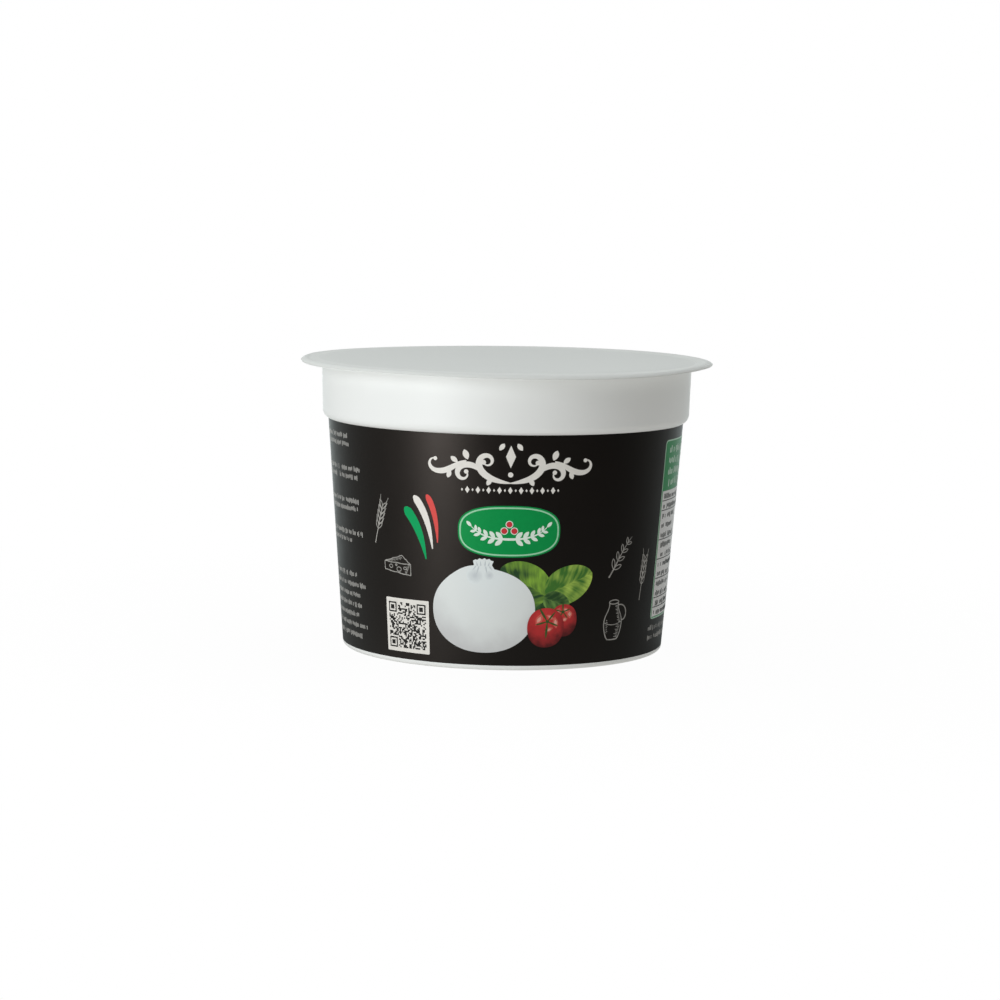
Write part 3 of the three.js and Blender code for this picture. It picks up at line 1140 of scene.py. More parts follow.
class MakeStage(bpy.types.Operator):
    """Make the camera, the floor and the light"""

    bl_idname = "burrata_tub.make_stage"
    bl_label = "Stage"

    def execute(self, context):
        studio = context.scene.studio
        self.camera(context, studio)
        self.floor(context)
        self.room(context, studio)
        self.soft_box(context, studio)
        context.scene.view_settings.view_transform = "Standard"
        return {"FINISHED"}

    def camera(self, context, studio):
        camera = bpy.data.objects.new("Camera", bpy.data.cameras.new("Camera"))
        context.scene.collection.objects.link(camera)
        back = Vector((0, -math.cos(studio.elevation), math.sin(studio.elevation)))
        camera.location = Vector((0, 0, studio.aim)) + studio.distance * back
        camera.rotation_mode = "QUATERNION"
        level = (-back).to_track_quat("-Z", "Y")
        camera.rotation_quaternion = level @ Quaternion((0, 0, 1), studio.roll)
        camera.data.lens = studio.lens
        camera.data.sensor_width = 36
        # The tub isn't quite in the middle of the picture.
        camera.data.shift_x = -0.00433
        camera.data.shift_y = 0.00547
        context.scene.camera = camera

    def floor(self, context):
        radius, sides = 3, 96
        turns = [math.tau * i / sides for i in range(sides)]
        outline = [(radius * math.cos(turn), radius * math.sin(turn), 0) for turn in turns]
        mesh = bpy.data.meshes.new("Floor")
        mesh.from_pydata(outline, [], [list(range(sides))])
        mesh.materials.append(studio_floor())
        floor = bpy.data.objects.new("Floor", mesh)
        context.scene.collection.objects.link(floor)

    def soft_box(self, context, studio):
        """The key light: a tall soft box close by, to the left of the front."""
        lamp = bpy.data.lights.new("Soft box", "AREA")
        lamp.shape = "RECTANGLE"
        lamp.size = 0.13
        lamp.size_y = 0.26
        lamp.energy = studio.key
        lamp.color = (0.975, 0.99, 1.0)
        key = bpy.data.objects.new("Soft box", lamp)
        context.scene.collection.objects.link(key)
        turn = math.radians(-39)
        away, height = 0.36, 0.13
        way = Vector((math.sin(turn), -math.cos(turn), 0))
        key.location = away * way + Vector((0, 0, height))
        key.rotation_mode = "QUATERNION"
        key.rotation_quaternion = (-way).to_track_quat("-Z", "Y")
        key.visible_camera = False

    def room(self, context, studio):
        """A white wall behind the tub, paler to its left than to its right, and a dim room in
        front. The camera sees plain white."""
        world = bpy.data.worlds.new("Room")
        context.scene.world = world
        world.use_nodes = True
        tree = world.node_tree
        tree.nodes.clear()
        seen_by = node(tree, "ShaderNodeLightPath").outputs
        way = node(tree, "ShaderNodeTexCoord").outputs["Generated"]
        mirror = node(
            tree, "ShaderNodeBackground", {"Strength": walls(tree, way), "Color": (*WALL_WHITE, 1)}
        )
        axes = node(tree, "ShaderNodeSeparateXYZ", {0: way}).outputs
        above = node(
            tree,
            "ShaderNodeMapRange",
            {"Value": axes["Z"], "From Min": 0.55, "From Max": 0.95, "To Min": 0.0, "To Max": 1.22},
            interpolation_type="SMOOTHSTEP",
        )
        behind = node(
            tree,
            "ShaderNodeMapRange",
            {"Value": axes["Y"], "From Min": -0.3, "From Max": 0.7, "To Min": 0.12, "To Max": 0.85},
            interpolation_type="SMOOTHSTEP",
        )
        light = node(tree, "ShaderNodeMath", {0: behind, 1: above}, operation="ADD")
        strength = node(tree, "ShaderNodeMath", {0: light, 1: studio.room}, operation="MULTIPLY")
        matt = node(tree, "ShaderNodeBackground", {"Strength": strength})
        unseen = node(tree, "ShaderNodeMixShader", {0: seen_by["Is Glossy Ray"], 1: matt, 2: mirror})
        seen = node(tree, "ShaderNodeBackground", {"Strength": 1.0, "Color": (1, 1, 1, 1)})
        either = node(tree, "ShaderNodeMixShader", {0: seen_by["Is Camera Ray"], 1: unseen, 2: seen})
        node(tree, "ShaderNodeOutputWorld", {"Surface": either})


class MakeTub(bpy.types.Operator):
    """Make the moulded tub, with its collar, its sealing flange and its underside"""

    bl_idname = "burrata_tub.make_tub"
    bl_label = "Tub"

    def execute(self, context):
        sizes = context.scene.tub_sizes
        flange_top = sizes.height - sizes.film
        flange_foot = flange_top - sizes.flange
        rounding = sizes.foot_rounding
        standing = wall(rounding) - rounding
        recess = standing - FOOT_RING - RECESS_SLOPE
        profile = [
            (0, GATE_FOOT),
            (GATE_RADIUS - GATE_BEVEL, GATE_FOOT),
            (GATE_RADIUS, GATE_FOOT + GATE_BEVEL_RISE),
            (GATE_RADIUS, RECESS_DEPTH),
            (recess, RECESS_DEPTH),
            (recess + RECESS_SLOPE, 0),
        ]
        profile += arc(standing, rounding, rounding, -90, 0)
        for height in (sizes.label_foot, sizes.label_top):
            profile.append((wall(height), height))
            profile.append((wall(height) - sizes.label, height))
        profile[-2], profile[-1] = profile[-1], profile[-2]
        collar = sizes.collar_rounding
        middle = sizes.collar_foot_radius - collar
        start = -math.acos((sizes.label_top_radius - middle) / collar)
        profile[-1:] = arc(
            middle, sizes.label_top - collar * math.sin(start), collar, math.degrees(start), 0
        )
        out = sizes.collar_top_radius + FLANGE_FILLET
        profile += arc(out, flange_foot - FLANGE_FILLET, FLANGE_FILLET, 180, 90)
        over = lip(sizes.lip_rounding - sizes.film)
        out, end = over[0]
        turn = math.radians(LIP_END)
        edge = (end - flange_foot) / (1 + math.sin(turn))
        profile += arc(out - edge * math.cos(turn), flange_foot + edge, edge, -90, LIP_END)
        profile += over[1:]
        profile += sealed_top(flange_top, over[-1][0])[1:]
        tub = turned_piece("tub_moulding", profile, moulded_polypropylene())
        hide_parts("tub")
        return {"FINISHED"}


class MakeFilm(bpy.types.Operator):
    """Make the lidding film, with the band where it is sealed to the flange"""

    bl_idname = "burrata_tub.make_film"
    bl_label = "Lidding film"

    def execute(self, context):
        sizes = context.scene.tub_sizes
        gap = 0.01 * MM  # the film's underside hangs just clear of the flange
        under = lip(sizes.lip_rounding - sizes.film + gap)[::-1]
        over = lip(sizes.lip_rounding)
        outer = over[-1][0]
        profile = sealed_top(sizes.height - sizes.film + gap, outer)[::-1] + under[1:] + over
        for radius, height in sealed_top(sizes.height, outer)[1:]:
            inside = min(1.0, max(0.0, (radius - BAND_INNER) / BAND_EDGE))
            outside = min(1.0, max(0.0, (BAND_OUTER - radius) / BAND_EDGE))
            profile.append((radius, height - BAND_DEPTH * inside * outside))
        film = turned_piece("lidding_film_sheet", profile, sealed_film())
        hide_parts("lidding_film")
        return {"FINISHED"}


class MakeLabel(bpy.types.Operator):
    """Make the black label and the seam where its ends meet"""

    bl_idname = "burrata_tub.make_label"
    bl_label = "Label"

    def execute(self, context):
        sizes = context.scene.tub_sizes
        colours = context.scene.pack_colours
        foot, top, rows = sizes.label_foot, sizes.label_top, 16
        face = [foot + (top - foot) * i / rows for i in range(rows + 1)]
        inner_foot = (wall(foot) - sizes.label, foot)
        inner_top = (wall(top) - sizes.label, top)
        profile = [inner_foot, *((wall(height), height) for height in face), inner_top, inner_foot]
        # Black ink on the moulded-in label film: nearly neutral, a little warm.
        black = ink(
            "In-mould label film, printed black", colours.black, 0.08, linear("FFEEE4")
        )
        label = turned_piece("label_film", profile, black)
        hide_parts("label")
        bare = ink("In-mould label film, unprinted", linear("D9DBDA"))
        strip = plate(SEAM - 0.45, SEAM + 0.45, foot / MM, top / MM)
        printed("label_seam", [strip], bare)
        return {"FINISHED"}


class MakeHeading(bpy.types.Operator):
    """Print the white scrolls at the top of the label and the row of lozenges under them"""

    bl_idname = "burrata_tub.make_heading"
    bl_label = "Heading scrolls"

    def execute(self, context):
        shapes = []
        scrolls = (
            (0 - 4.3j, 6, (0.03, 0.07, 0.18, 0.42, 0.72, 0.95), 19.6, 1.8, 0.66),
            (6.0 - 2.2j, 36, (0.06, -0.10, -0.26, -0.46, -0.72, -0.98), 15.2, 1.65, 0.6),
            (11.6 + 1.6j, -14, (-0.16, -0.04, 0.12, 0.24, 0.58, 0.92), 14.4, 1.55, 0.55),
        )
        for start, heading, bends, length, thick, eye in scrolls:
            line = bent(start, heading, bends, length, 80)
            shapes.append(stroke(line, swelling(0.28, thick, 0.42)))
            shapes.append(filled(oval(line[-1], eye, eye, steps=20), 2))
        leaves = (
            (5.0 - 3.0j, -60, 2.3),
            (11.2 + 1.9j, 70, 2.9),
            (3.0 + 4.6j, 125, 2.3),
            (13.9 + 1.1j, 38, 2.4),
            (15.9 - 1.1j, -70, 2.3),
        )
        shapes += [filled(drop(foot, way, length), 3) for foot, way, length in leaves]
        shapes = with_mirrored(shapes)
        shapes.append(filled([6.0j, -1.3 + 2.9j, -0.2j, 1.3 + 2.9j], 3))
        shapes.append(filled(oval(-2.0j, 0.7, 0.7, steps=20), 2))
        white = ink("Offset ink, white", context.scene.pack_colours.white)
        printed("heading_scrolls", moved(shapes, HEADING), white)
        lozenge = (0.62 + 0j, 0.98j, -0.62 + 0j, -0.98j)
        pitch = 1.42
        row = []
        for k in range(-9, 10):
            size = 0.45 if k % 2 else 1.0
            row.append(filled([LOZENGE_ROW + k * pitch + p * size for p in lozenge], 1))
        printed("lozenge_row", row, white)
        return {"FINISHED"}


class MakeStripes(bpy.types.Operator):
    """Print the green, white and red stripes side by side"""

    bl_idname = "burrata_tub.make_stripes"
    bl_label = "Stripes"

    def execute(self, context):
        colours = context.scene.pack_colours
        stripes = (
            ("stripe_green", -21.8 + 30.0j, 101, 15.6, 2.4, linear("06A25C"), linear("8CFFCC")),
            ("stripe_white", -19.8 + 33.0j, 97, 15.6, 1.8, colours.white, linear("FFFFFF")),
            ("stripe_red", -18.3 + 34.8j, 91, 13.6, 1.4, colours.red, linear("FFDCDC")),
        )
        for name, foot, way, length, width, colour, tint in stripes:
            line = bent(foot, way, (0.01, 0.03, 0.05, 0.07), length, 40)
            shape = stroke(line, self.brush(width))
            own = ink("Offset ink, " + name.replace("_", " "), colour, 0.05, tint)
            printed(name, [shape], own)
        return {"FINISHED"}

    @staticmethod
    def brush(width):
        """A brush's width: thin at the foot, widest near the top and rounded off there."""
        return lambda share: 0.3 + width * math.sin(share * math.pi * 0.56) * min(
            1, math.sqrt((1.001 - share) / 0.1)
        )


class MakePlaque(bpy.types.Operator):
    """Print the green plaque with its pale line, its laurel and its berries"""

    bl_idname = "burrata_tub.make_plaque"
    bl_label = "Plaque"

    def execute(self, context):
        colours = context.scene.pack_colours
        green = ink("Offset ink, plaque green", colours.green, 0.05, linear("A8FFC8"))
        printed("plaque", [filled(oval(PLAQUE, 13.9, 7.1, 2.7, 96), 12)], green)
        pale = ink("Offset ink, pale green", colours.pale_green)
        printed("plaque_line", [stroke(oval(PLAQUE, 13.3, 6.5, 2.7, 96), 0.42, True)], pale, 1)
        line = bent(-1.7j, 0, (0.02, 0.05, 0.10, 0.13), 11.0, 32)
        shapes = [stroke(line, lambda share: 0.5 * (1 - share) + 0.2)]
        for k, i in enumerate((5, 11, 17, 23, 27)):
            way = math.degrees(cmath.phase(line[i + 1] - line[i]))
            for side in (-44, 44):
                shapes.append(filled(drop(line[i], way + side, 2.7 - 0.25 * k, 0.34), 3))
        way = math.degrees(cmath.phase(line[-1] - line[-2]))
        shapes.append(filled(drop(line[-1], way, 2.0, 0.34), 3))
        milky = ink("Offset ink, milk white", linear("E2F2E6"))
        printed("laurel", moved(with_mirrored(shapes), PLAQUE - 0.4j), milky, 1)
        berries = [PLAQUE + place for place in (2.0j, -1.35 + 0.2j, 1.35 + 0.2j)]
        rims = [filled(oval(berry, 1.02, 1.02, steps=24), 2) for berry in berries]
        printed("berry_rims", rims, milky, 2)
        fruit = [filled(oval(berry, 0.8, 0.8, steps=24), 2) for berry in berries]
        printed("berries", fruit, ink("Offset ink, berry red", linear("CE2F38")), 3)
        return {"FINISHED"}


class MakeLeaves(bpy.types.Operator):
    """Print the basil leaves"""

    bl_idname = "burrata_tub.make_leaves"
    bl_label = "Basil leaves"

    def execute(self, context):
        # Name, foot, way in degrees, length, width, light, dark, slope and slant
        leaves = (
            ("leaf_behind", 13.0 + 21.4j, 226, 8.6, 7.0, "6C9C4A", "264E24", 0.5, 0.0),
            ("leaf_left", 12.6 + 20.4j, 148, 15.6, 11.4, "8EBE3A", "264C28", -0.8, -0.05),
            ("leaf_right", 11.9 + 21.2j, 22, 14.9, 10.4, "C0E05C", "407A28", 0.4, 0.0),
            ("leaf_low", 11.4 + 20.4j, -20, 8.2, 5.8, "84B254", "264E22", 0.0, 0.0),
        )
        for layer, (name, foot, way, length, width, light, dark, *tone) in enumerate(leaves):
            along = cmath.rect(length, math.radians(way))
            side = along * 1j * width / length
            tip = foot + along
            near, far = foot + 0.05 * along, tip - 0.08 * along
            out = bezier(foot, near + 0.74 * side, far + 0.58 * side, tip, 28)
            back = bezier(tip, far - 0.58 * side, near - 0.74 * side, foot, 28)
            green = leaf_ink(
                "Process ink, basil " + name.replace("_", " "),
                linear(light), linear(dark), foot, way, length, *tone,
            )
            printed(name, [filled(out[:-1] + back[:-1], 8)], green, layer * LEAF_LAYER)
        return {"FINISHED"}


class MakeCheese(bpy.types.Operator):
    """Print the ball of burrata with its gathered neck"""

    bl_idname = "burrata_tub.make_cheese"
    bl_label = "Ball of burrata"

    def execute(self, context):
        milk = picture_ink(
            "Process ink, milk white",
            linear("E3EBEC"), linear("E2E8E7"), linear("C0C1C2"),
            CHEESE + complex(2.0, 10.0), 26.0, 0.14, 6.0,
        )
        neck = [
            complex(x, y)
            for x, y in (
                (-4.2, -1.6), (-3.1, -0.6), (-2.5, 0.5), (-2.8, 1.5), (-2.1, 1.9), (-1.6, 1.75),
                (-1.0, 2.25), (-0.3, 1.95), (0.4, 2.3), (1.0, 1.9), (1.7, 2.15), (2.1, 1.7),
                (2.9, 1.5), (2.4, 0.4), (3.1, -0.7), (4.2, -1.7),
            )
        ]
        # The ball's left shoulder rises to the neck, which is a little left of the middle.
        outline = []
        for place in oval(CHEESE + 0.25j, 14.5, 11.6, 2.15, 96):
            off = place - CHEESE
            shoulder = 1.15 * math.exp(-(((off.real + 3.6) / 5.2) ** 2))
            outline.append(place + 1j * shoulder * min(1.0, max(0.0, off.imag / 6.0)))
        knot = [CHEESE - 0.1 + 12.6j + p for p in neck]
        printed("cheese_ball", [filled(outline, 12), filled(knot, 4)], milk, CHEESE_LAYER)
        # The gathered skin casts soft shadows round the neck's foot, which fade into the ball.
        for number, (place, across) in enumerate(
            ((-2.3 + 10.0j, 2.4), (1.6 + 10.2j, 1.5))
        ):
            soft = picture_ink(
                f"Process ink, milk shadow {number}",
                linear("C9D1D5"), linear("D6DEE0"), linear("E3EBEC"),
                CHEESE + place, across, 0.2, 1.6,
            )
            patch = filled(oval(CHEESE + place, across, across), 4)
            printed(f"cheese_shadow_{number}", [patch], soft, CHEESE_LAYER + 0.4 + 0.1 * number)
        shade = ink("Process ink, milk grey", linear("CBD4D8"), 0.1)
        folds = []
        top = CHEESE - 0.1 + 12.7j
        for x, way, length in (
            (-1.9, -128, 1.6), (-1.1, -106, 2.7), (0.7, -80, 2.2), (1.7, -56, 1.4),
            (-0.6, 96, 1.4), (0.5, 84, 1.6), (1.4, 72, 1.2), (-1.5, 108, 1.2),
        ):
            line = bent(top + x, way, (0.0, 0.06 * math.copysign(1, x)), length, 16)
            folds.append(stroke(line, swelling(0.05, 0.36, 0.3)))
        printed("cheese_folds", folds, shade, CHEESE_LAYER + 0.8)
        return {"FINISHED"}


class MakeTomatoes(bpy.types.Operator):
    """Print the two tomatoes with their stalks"""

    bl_idname = "burrata_tub.make_tomatoes"
    bl_label = "Tomatoes"

    # The highlights round a stalk: degrees, how far out, how long and how wide. Only the width is
    # in millimetres; the others are shares of the tomato's own radius.
    LIGHTS = (
        (150, 0.5, 0.7, 1.9), (62, 0.42, 0.5, 1.3), (8, 0.5, 0.6, 1.7), (-66, 0.34, 0.5, 1.2),
    )

    def execute(self, context):
        fruit = (
            ("tomato_small", SMALL_TOMATO, 4.0, 4.5, -0.3 + 2.4j, 3.3, 20),
            ("tomato_large", LARGE_TOMATO, 5.3, 5.5, 0.4 + 1.7j, 4.7, 50),
        )
        green = ink("Process ink, stalk green", linear("3B5F26"), 0.15)
        glow = ink("Process ink, light red", linear("DE6457"), 0.2)
        glint = ink("Process ink, pale red", linear("EDA898"), 0.2)
        for order, (name, centre, across, up, stalk, size, turn) in enumerate(fruit):
            red = picture_ink(
                "Process ink, " + name.replace("_", " "),
                linear("D43632"), linear("B82527"), linear("5E1215"),
                centre + complex(-0.1 * across, 0.5 * up), 1.6 * across, 0.3, 2.2,
            )
            layer = TOMATO_LAYER + 1.6 * order
            printed(name, [filled(oval(centre, across, up, 2.2, 64), 6)], red, layer)
            for kind, share, tone, above in (("glow", 1.0, glow, 0.4), ("shine", 0.5, glint, 0.8)):
                spots = []
                for turned, reach, long, wide in self.LIGHTS:
                    way = math.radians(turned)
                    run = long * share * across
                    spot = centre + 0.6 * stalk + cmath.rect(reach * across, way)
                    spot -= cmath.rect(0.5 * run, way - math.radians(88))
                    line = bent(spot, turned - 95, (0.05, 0.1), run, 12)
                    spots.append(stroke(line, swelling(0.1, wide * share, 0.5)))
                printed(f"{name}_{kind}", spots, tone, layer + above)
            sepals = [
                filled(drop(centre + stalk, turn + 72 * k, size * (1.0 if k % 2 else 0.75), 0.1), 3)
                for k in range(5)
            ]
            sepals.append(filled(oval(centre + stalk, 0.5, 0.45, steps=16), 2))
            printed(name + "_stalk", sepals, green, layer + 1.2)
        return {"FINISHED"}


class MakeSketches(bpy.types.Operator):
    """Print the chalk-line sketches: a wedge of cheese, ears of wheat, a sprig and a jug"""

    bl_idname = "burrata_tub.make_sketches"
    bl_label = "Chalk sketches"

    def execute(self, context):
        chalk = ink("Offset ink, chalk grey", linear("AEACA7"), 0.35)
        printed("sketch_wedge", moved(self.wedge(), -31.2 + 27.4j, 0.95), chalk)
        printed("sketch_wheat_left", self.wheat(-39.5 + 33.0j, 72, 11.5), chalk)
        printed("sketch_sprig", self.sprig(31.5 + 25.0j, 52, 13.5), chalk)
        printed("sketch_jug", moved(self.jug(), 34.2 + 12.6j, 1.15), chalk)
        printed("sketch_wheat_right", self.wheat(45.0 + 17.5j, 84, 12.0), chalk)
        return {"FINISHED"}

    @staticmethod
    def shading(first, last, count, reach):
        """Short chalk strokes side by side, of uneven length."""
        shapes = []
        for i in range(count):
            start = first + (last - first) * i / (count - 1)
            end = start + reach * (0.72 + 0.28 * math.sin(2.4 * i))
            shapes.append(stroke([start, (start + end) / 2 + 0.04j, end], 0.15))
        return shapes

    @staticmethod
    def wheat(foot, way, length):
        along = cmath.rect(1, math.radians(way))
        shapes = [stroke([foot + along * length * i / 12 for i in range(13)], 0.26)]
        for k in range(5):
            place = foot + along * length * (0.38 + 0.13 * k)
            for side in (-1, 1):
                grain = drop(place, way + 28 * side, 2.3, 0.26)
                shapes.append(stroke(grain, 0.24, True))
                tip = place + along * cmath.rect(2.3, math.radians(28 * side))
                beard = along * cmath.rect(1.7, math.radians(12 * side))
                shapes.append(stroke([tip, tip + beard / 2, tip + beard], 0.16))
        return shapes

    @staticmethod
    def wedge():
        a, b, c, d, top = -5 - 1.4j, 4.6 - 2.6j, 4.6 + 0.6j, -5 + 1.0j, 1.6 + 3.1j
        shapes = []
        for start, end in ((a, b), (b, c), (c, d), (d, a), (d, top), (top, c)):
            line = [start + (end - start) * i / 8 + 0.09j * math.sin(1.9 * i) for i in range(9)]
            shapes.append(stroke(line, 0.26))
        for hole, size in ((-2.6 - 0.3j, 0.62), (0.4 - 1.0j, 0.8), (2.6 - 0.6j, 0.5), (-0.6 + 0.2j, 0.3)):
            shapes.append(stroke(oval(hole, size, 0.8 * size, steps=18), 0.22, True))
        shapes += MakeSketches.shading(3.2 - 2.1j, 4.3 + 0.3j, 9, -0.9 + 0.25j)
        shapes += MakeSketches.shading(-4.0 + 1.2j, 1.2 + 2.6j, 14, 0.7 - 0.6j)
        return shapes

    @staticmethod
    def sprig(foot, way, length):
        line = bent(foot, way, (0.05, -0.02, -0.06), length, 30)
        shapes = [stroke(line, lambda share: 0.34 * (1 - share) + 0.14)]
        for k, i in enumerate((6, 12, 18, 24)):
            heading = math.degrees(cmath.phase(line[i + 1] - line[i]))
            for side in (-38, 38):
                leaf = drop(line[i], heading + side, 3.0 - 0.36 * k, 0.26)
                shapes.append(stroke(leaf, 0.24, True))
        return shapes

    @staticmethod
    def jug():
        left = bezier(-1.4 + 4.6j, -1.2 + 2.4j, -3.3 + 1.6j, -2.9 - 1.2j, 14)
        left += bezier(-2.9 - 1.2j, -2.7 - 2.6j, -2.2 - 3.8j, -1.6 - 4.4j, 8)[1:]
        right = [-p.conjugate() for p in left[::-1]]
        foot = bezier(left[-1], left[-1] + 1 - 0.12j, right[0] - 1 - 0.12j, right[0], 6)[1:-1]
        shapes = [stroke(left + foot + right, 0.28)]
        shapes.append(stroke(oval(4.7j, 1.55, 0.5, steps=24), 0.24, True))
        shapes.append(stroke(bezier(1.5 + 3.9j, 5.2 + 4.4j, 4.9 - 0.6j, 2.7 + 0.2j, 18), 0.3))
        shapes.append(stroke(bezier(-2.75 - 0.2j, -1.2 - 1.1j, 1.2 - 1.1j, 2.75 - 0.2j, 14), 0.2))
        shapes += MakeSketches.shading(1.3 + 3.6j, 2.5 - 0.4j, 13, -1.0 + 0.3j)
        shapes += MakeSketches.shading(2.4 - 1.2j, 1.6 - 4.0j, 9, -1.3 + 0.2j)
        shapes += MakeSketches.shading(-2.3 + 0.4j, -2.2 - 2.6j, 8, 0.6 - 0.3j)
        return shapes


class MakeCode(bpy.types.Operator):
    """Print the white card with its field of small black squares"""

    bl_idname = "burrata_tub.make_code"
    bl_label = "Code card"

    def execute(self, context):
        colours = context.scene.pack_colours
        white = ink("Offset ink, card white", colours.white)
        black = ink("Offset ink, code black", linear("1B1816"))
        printed("code_card", [plate(CODE_LEFT, CODE_RIGHT, CODE_FOOT, CODE_TOP, 0.3)], white)
        cells = 31
        cell = 0.41
        left = (CODE_LEFT + CODE_RIGHT - cells * cell) / 2
        top = (CODE_FOOT + CODE_TOP + cells * cell) / 2
        marked(
            "code_squares", black, 1, rows=cells, marks=cells, row_pitch=cell, mark_pitch=cell,
            size=(cell, cell), left=left + cell / 2, top=top - cell / 2, gaps=0.5, tall=0.0, seed=7,
        )
        right, foot = left + cells * cell, top - cells * cell
        corners = ((left, top - 7 * cell), (right - 7 * cell, top - 7 * cell), (left, foot))
        for layer, inset, own in ((2, -0.99, white), (3, 0, black), (4, 1, white), (5, 2, black)):
            shapes = []
            for x, y in corners:
                low, high = inset * cell, (7 - inset) * cell
                shapes.append(plate(x + low, x + high, y + low, y + high))
            printed(f"code_corners_{layer}", shapes, own, layer)
        return {"FINISHED"}


class MakeTable(bpy.types.Operator):
    """Print the table on the right, with its green head, its ruled rows and its border"""

    bl_idname = "burrata_tub.make_table"
    bl_label = "Table"

    def execute(self, context):
        colours = context.scene.pack_colours
        left, right, foot, head, top = TABLE_LEFT, TABLE_RIGHT, TABLE_FOOT, TABLE_HEAD, TABLE_TOP
        green = ink("Offset ink, table green", linear("128A49"))
        pale = ink("Offset ink, table pale", linear("D8D8D7"))
        edge = ink("Offset ink, table edge", linear("A9CDB4"))
        dark = ink("Offset ink, rule black", linear("23201E"))
        white = ink("Offset ink, head white", linear("C4DCCB"))
        line, border = 0.4, 0.65  # how far in the pale line and the green border reach
        printed("table_edge", [plate(left, right, foot, top, 1.4)], edge)
        frame_plate = plate(left + line, right - line, foot + line, top - line, 1.0)
        printed("table_frame", [frame_plate], green, 1)
        ground = plate(left + border, right - border, foot + border, head)
        printed("table_ground", [ground], pale, 2)
        rules = []
        rows = 13
        pitch = (head - foot - 0.6) / rows
        for k in (1, 2, 5, 7, 9, 11, 12):
            level = head - pitch * k
            rules.append(plate(left + 0.9, right - 0.9, level - 0.12, level + 0.12))
        printed("table_rules", rules, dark, 3)
        marked(
            "table_words", dark, 3, rows=rows, marks=34, row_pitch=pitch, mark_pitch=0.66,
            size=SMALL_MARK, left=left + 2.0, top=head - 0.62 * pitch, ragged=0.6, seed=11,
        )
        marked(
            "table_figures", dark, 3, rows=rows, marks=16, row_pitch=pitch, mark_pitch=0.66,
            size=SMALL_MARK, left=left + 30.5, top=head - 0.62 * pitch, gaps=0.35, tall=0.0, seed=12,
        )
        marked(
            "table_head_words", white, 2, rows=4, marks=40, row_pitch=3.1, mark_pitch=0.98,
            size=(0.55, 1.35), left=left + 3.4, top=top - 3.0, ragged=0.25, seed=13,
        )
        grey = ink("Offset ink, table foot grey", colours.grey)
        marked(
            "table_foot_words", grey, 0, rows=2, marks=62, row_pitch=2.6, mark_pitch=0.66,
            size=SMALL_MARK, left=left - 0.6, top=foot - 2.6, ragged=0.3, seed=14,
        )
        return {"FINISHED"}


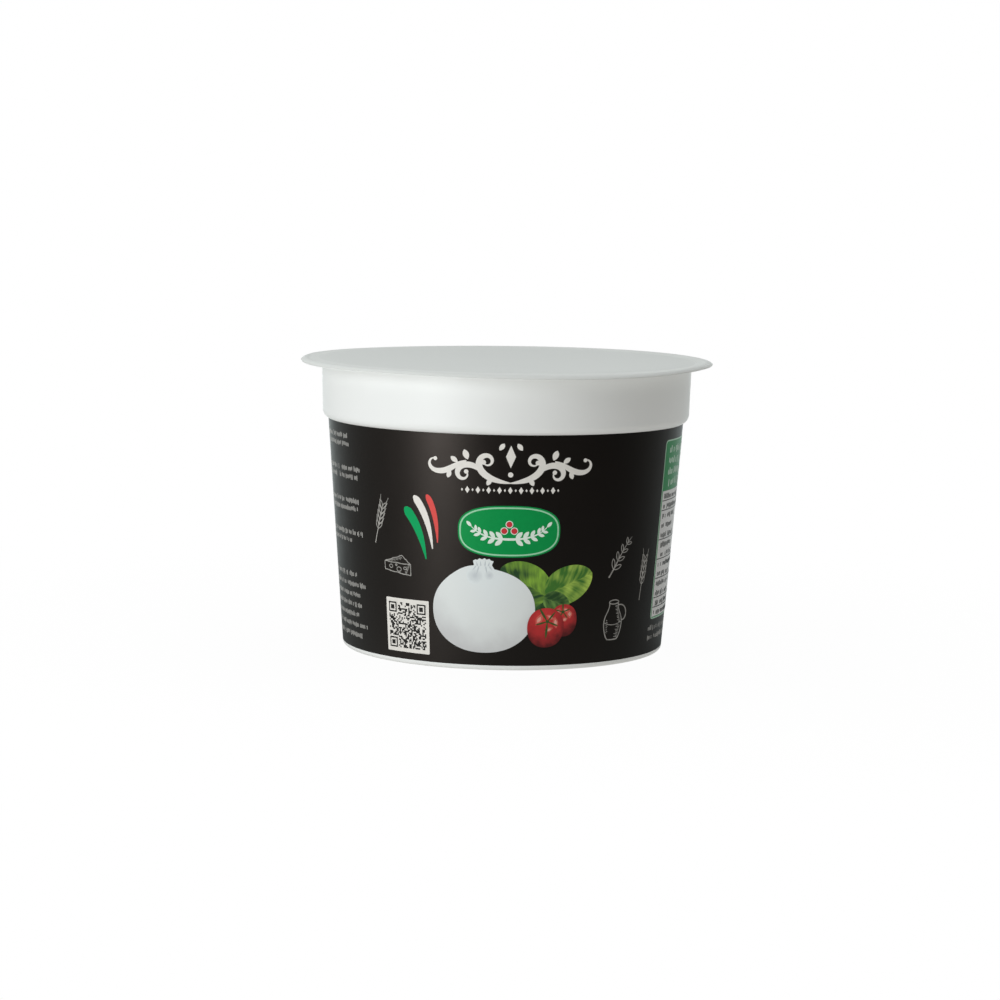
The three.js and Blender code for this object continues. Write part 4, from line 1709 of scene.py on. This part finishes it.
class MakeSmallPrint(bpy.types.Operator):
    """Print the paragraphs on the left and at the back, the bars and the date box"""

    bl_idname = "burrata_tub.make_small_print"
    bl_label = "Small print"

    def execute(self, context):
        colours = context.scene.pack_colours
        grey = ink("Offset ink, small print grey", colours.grey)
        white = ink("Offset ink, back white", colours.white)
        black = ink("Offset ink, bar black", linear("1C1917"))
        marked(
            "paragraphs_left", grey, 0, rows=14, marks=84, row_pitch=2.25, mark_pitch=0.64,
            size=SMALL_MARK, left=-98.0, top=61.4, ragged=0.16, rows_together=2, rows_apart=2,
            seed=21,
        )
        marked(
            "paragraph_low_left", grey, 0, rows=7, marks=84, row_pitch=2.85, mark_pitch=0.64,
            size=SMALL_MARK, left=-98.0, top=22.5, ragged=0.12, seed=26,
        )
        marked(
            "paragraphs_back_left", grey, 0, rows=13, marks=60, row_pitch=2.4, mark_pitch=0.64,
            size=SMALL_MARK, left=-143.0, top=61.2, ragged=0.3, rows_together=4, seed=22,
        )
        marked(
            "paragraphs_back_right", grey, 0, rows=14, marks=62, row_pitch=2.4, mark_pitch=0.64,
            size=SMALL_MARK, left=103.5, top=61.2, ragged=0.3, rows_together=2, seed=23,
        )
        printed("bar_card", [plate(-143.5, -107.0, 5.5, 25.5, 0.8)], white)
        marked(
            "bars", black, 1, rows=1, marks=94, row_pitch=1.0, mark_pitch=0.35,
            size=(0.35, 14.5), left=-141.6, top=16.4, gaps=0.52, tall=0.0, seed=24,
        )
        marked(
            "bar_figures", black, 1, rows=1, marks=13, row_pitch=1.0, mark_pitch=2.4,
            size=(1.1, 1.7), left=-139.6, top=7.3, gaps=0.0, tall=0.0, seed=25,
        )
        printed("date_box", [plate(104.0, 140.0, 8.0, 20.0, 1.0)], white)
        return {"FINISHED"}


class BurrataTubPanel(bpy.types.Panel):
    """Lists the pieces of the tub and their sizes"""

    bl_idname = "VIEW3D_PT_burrata_tub"
    bl_label = "Burrata tub"
    bl_space_type = "VIEW_3D"
    bl_region_type = "UI"
    bl_category = "Burrata tub"

    def draw(self, context):
        for group in (context.scene.tub_sizes, context.scene.pack_colours, context.scene.studio):
            box = self.layout.box()
            for name in group.__annotations__:
                box.prop(group, name)
        for operator in OPERATORS:
            self.layout.operator(operator.bl_idname)


OPERATORS = (
    MakeStage,
    MakeTub,
    MakeFilm,
    MakeLabel,
    MakeHeading,
    MakeStripes,
    MakePlaque,
    MakeLeaves,
    MakeCheese,
    MakeTomatoes,
    MakeSketches,
    MakeCode,
    MakeTable,
    MakeSmallPrint,
)
GROUPS = (TubSizes, PackColours, StudioSettings)


def register():
    for made in (*GROUPS, *OPERATORS, BurrataTubPanel):
        bpy.utils.register_class(made)
    bpy.types.Scene.tub_sizes = PointerProperty(type=TubSizes)
    bpy.types.Scene.pack_colours = PointerProperty(type=PackColours)
    bpy.types.Scene.studio = PointerProperty(type=StudioSettings)


def unregister():
    for name in ("studio", "pack_colours", "tub_sizes"):
        delattr(bpy.types.Scene, name)
    for made in reversed((*GROUPS, *OPERATORS, BurrataTubPanel)):
        bpy.utils.unregister_class(made)


def main():
    """Makes the stage and every piece."""
    register()
    for operator in OPERATORS:
        getattr(bpy.ops.burrata_tub, operator.bl_idname.split(".")[1])()


if __name__ == "__main__":
    main()
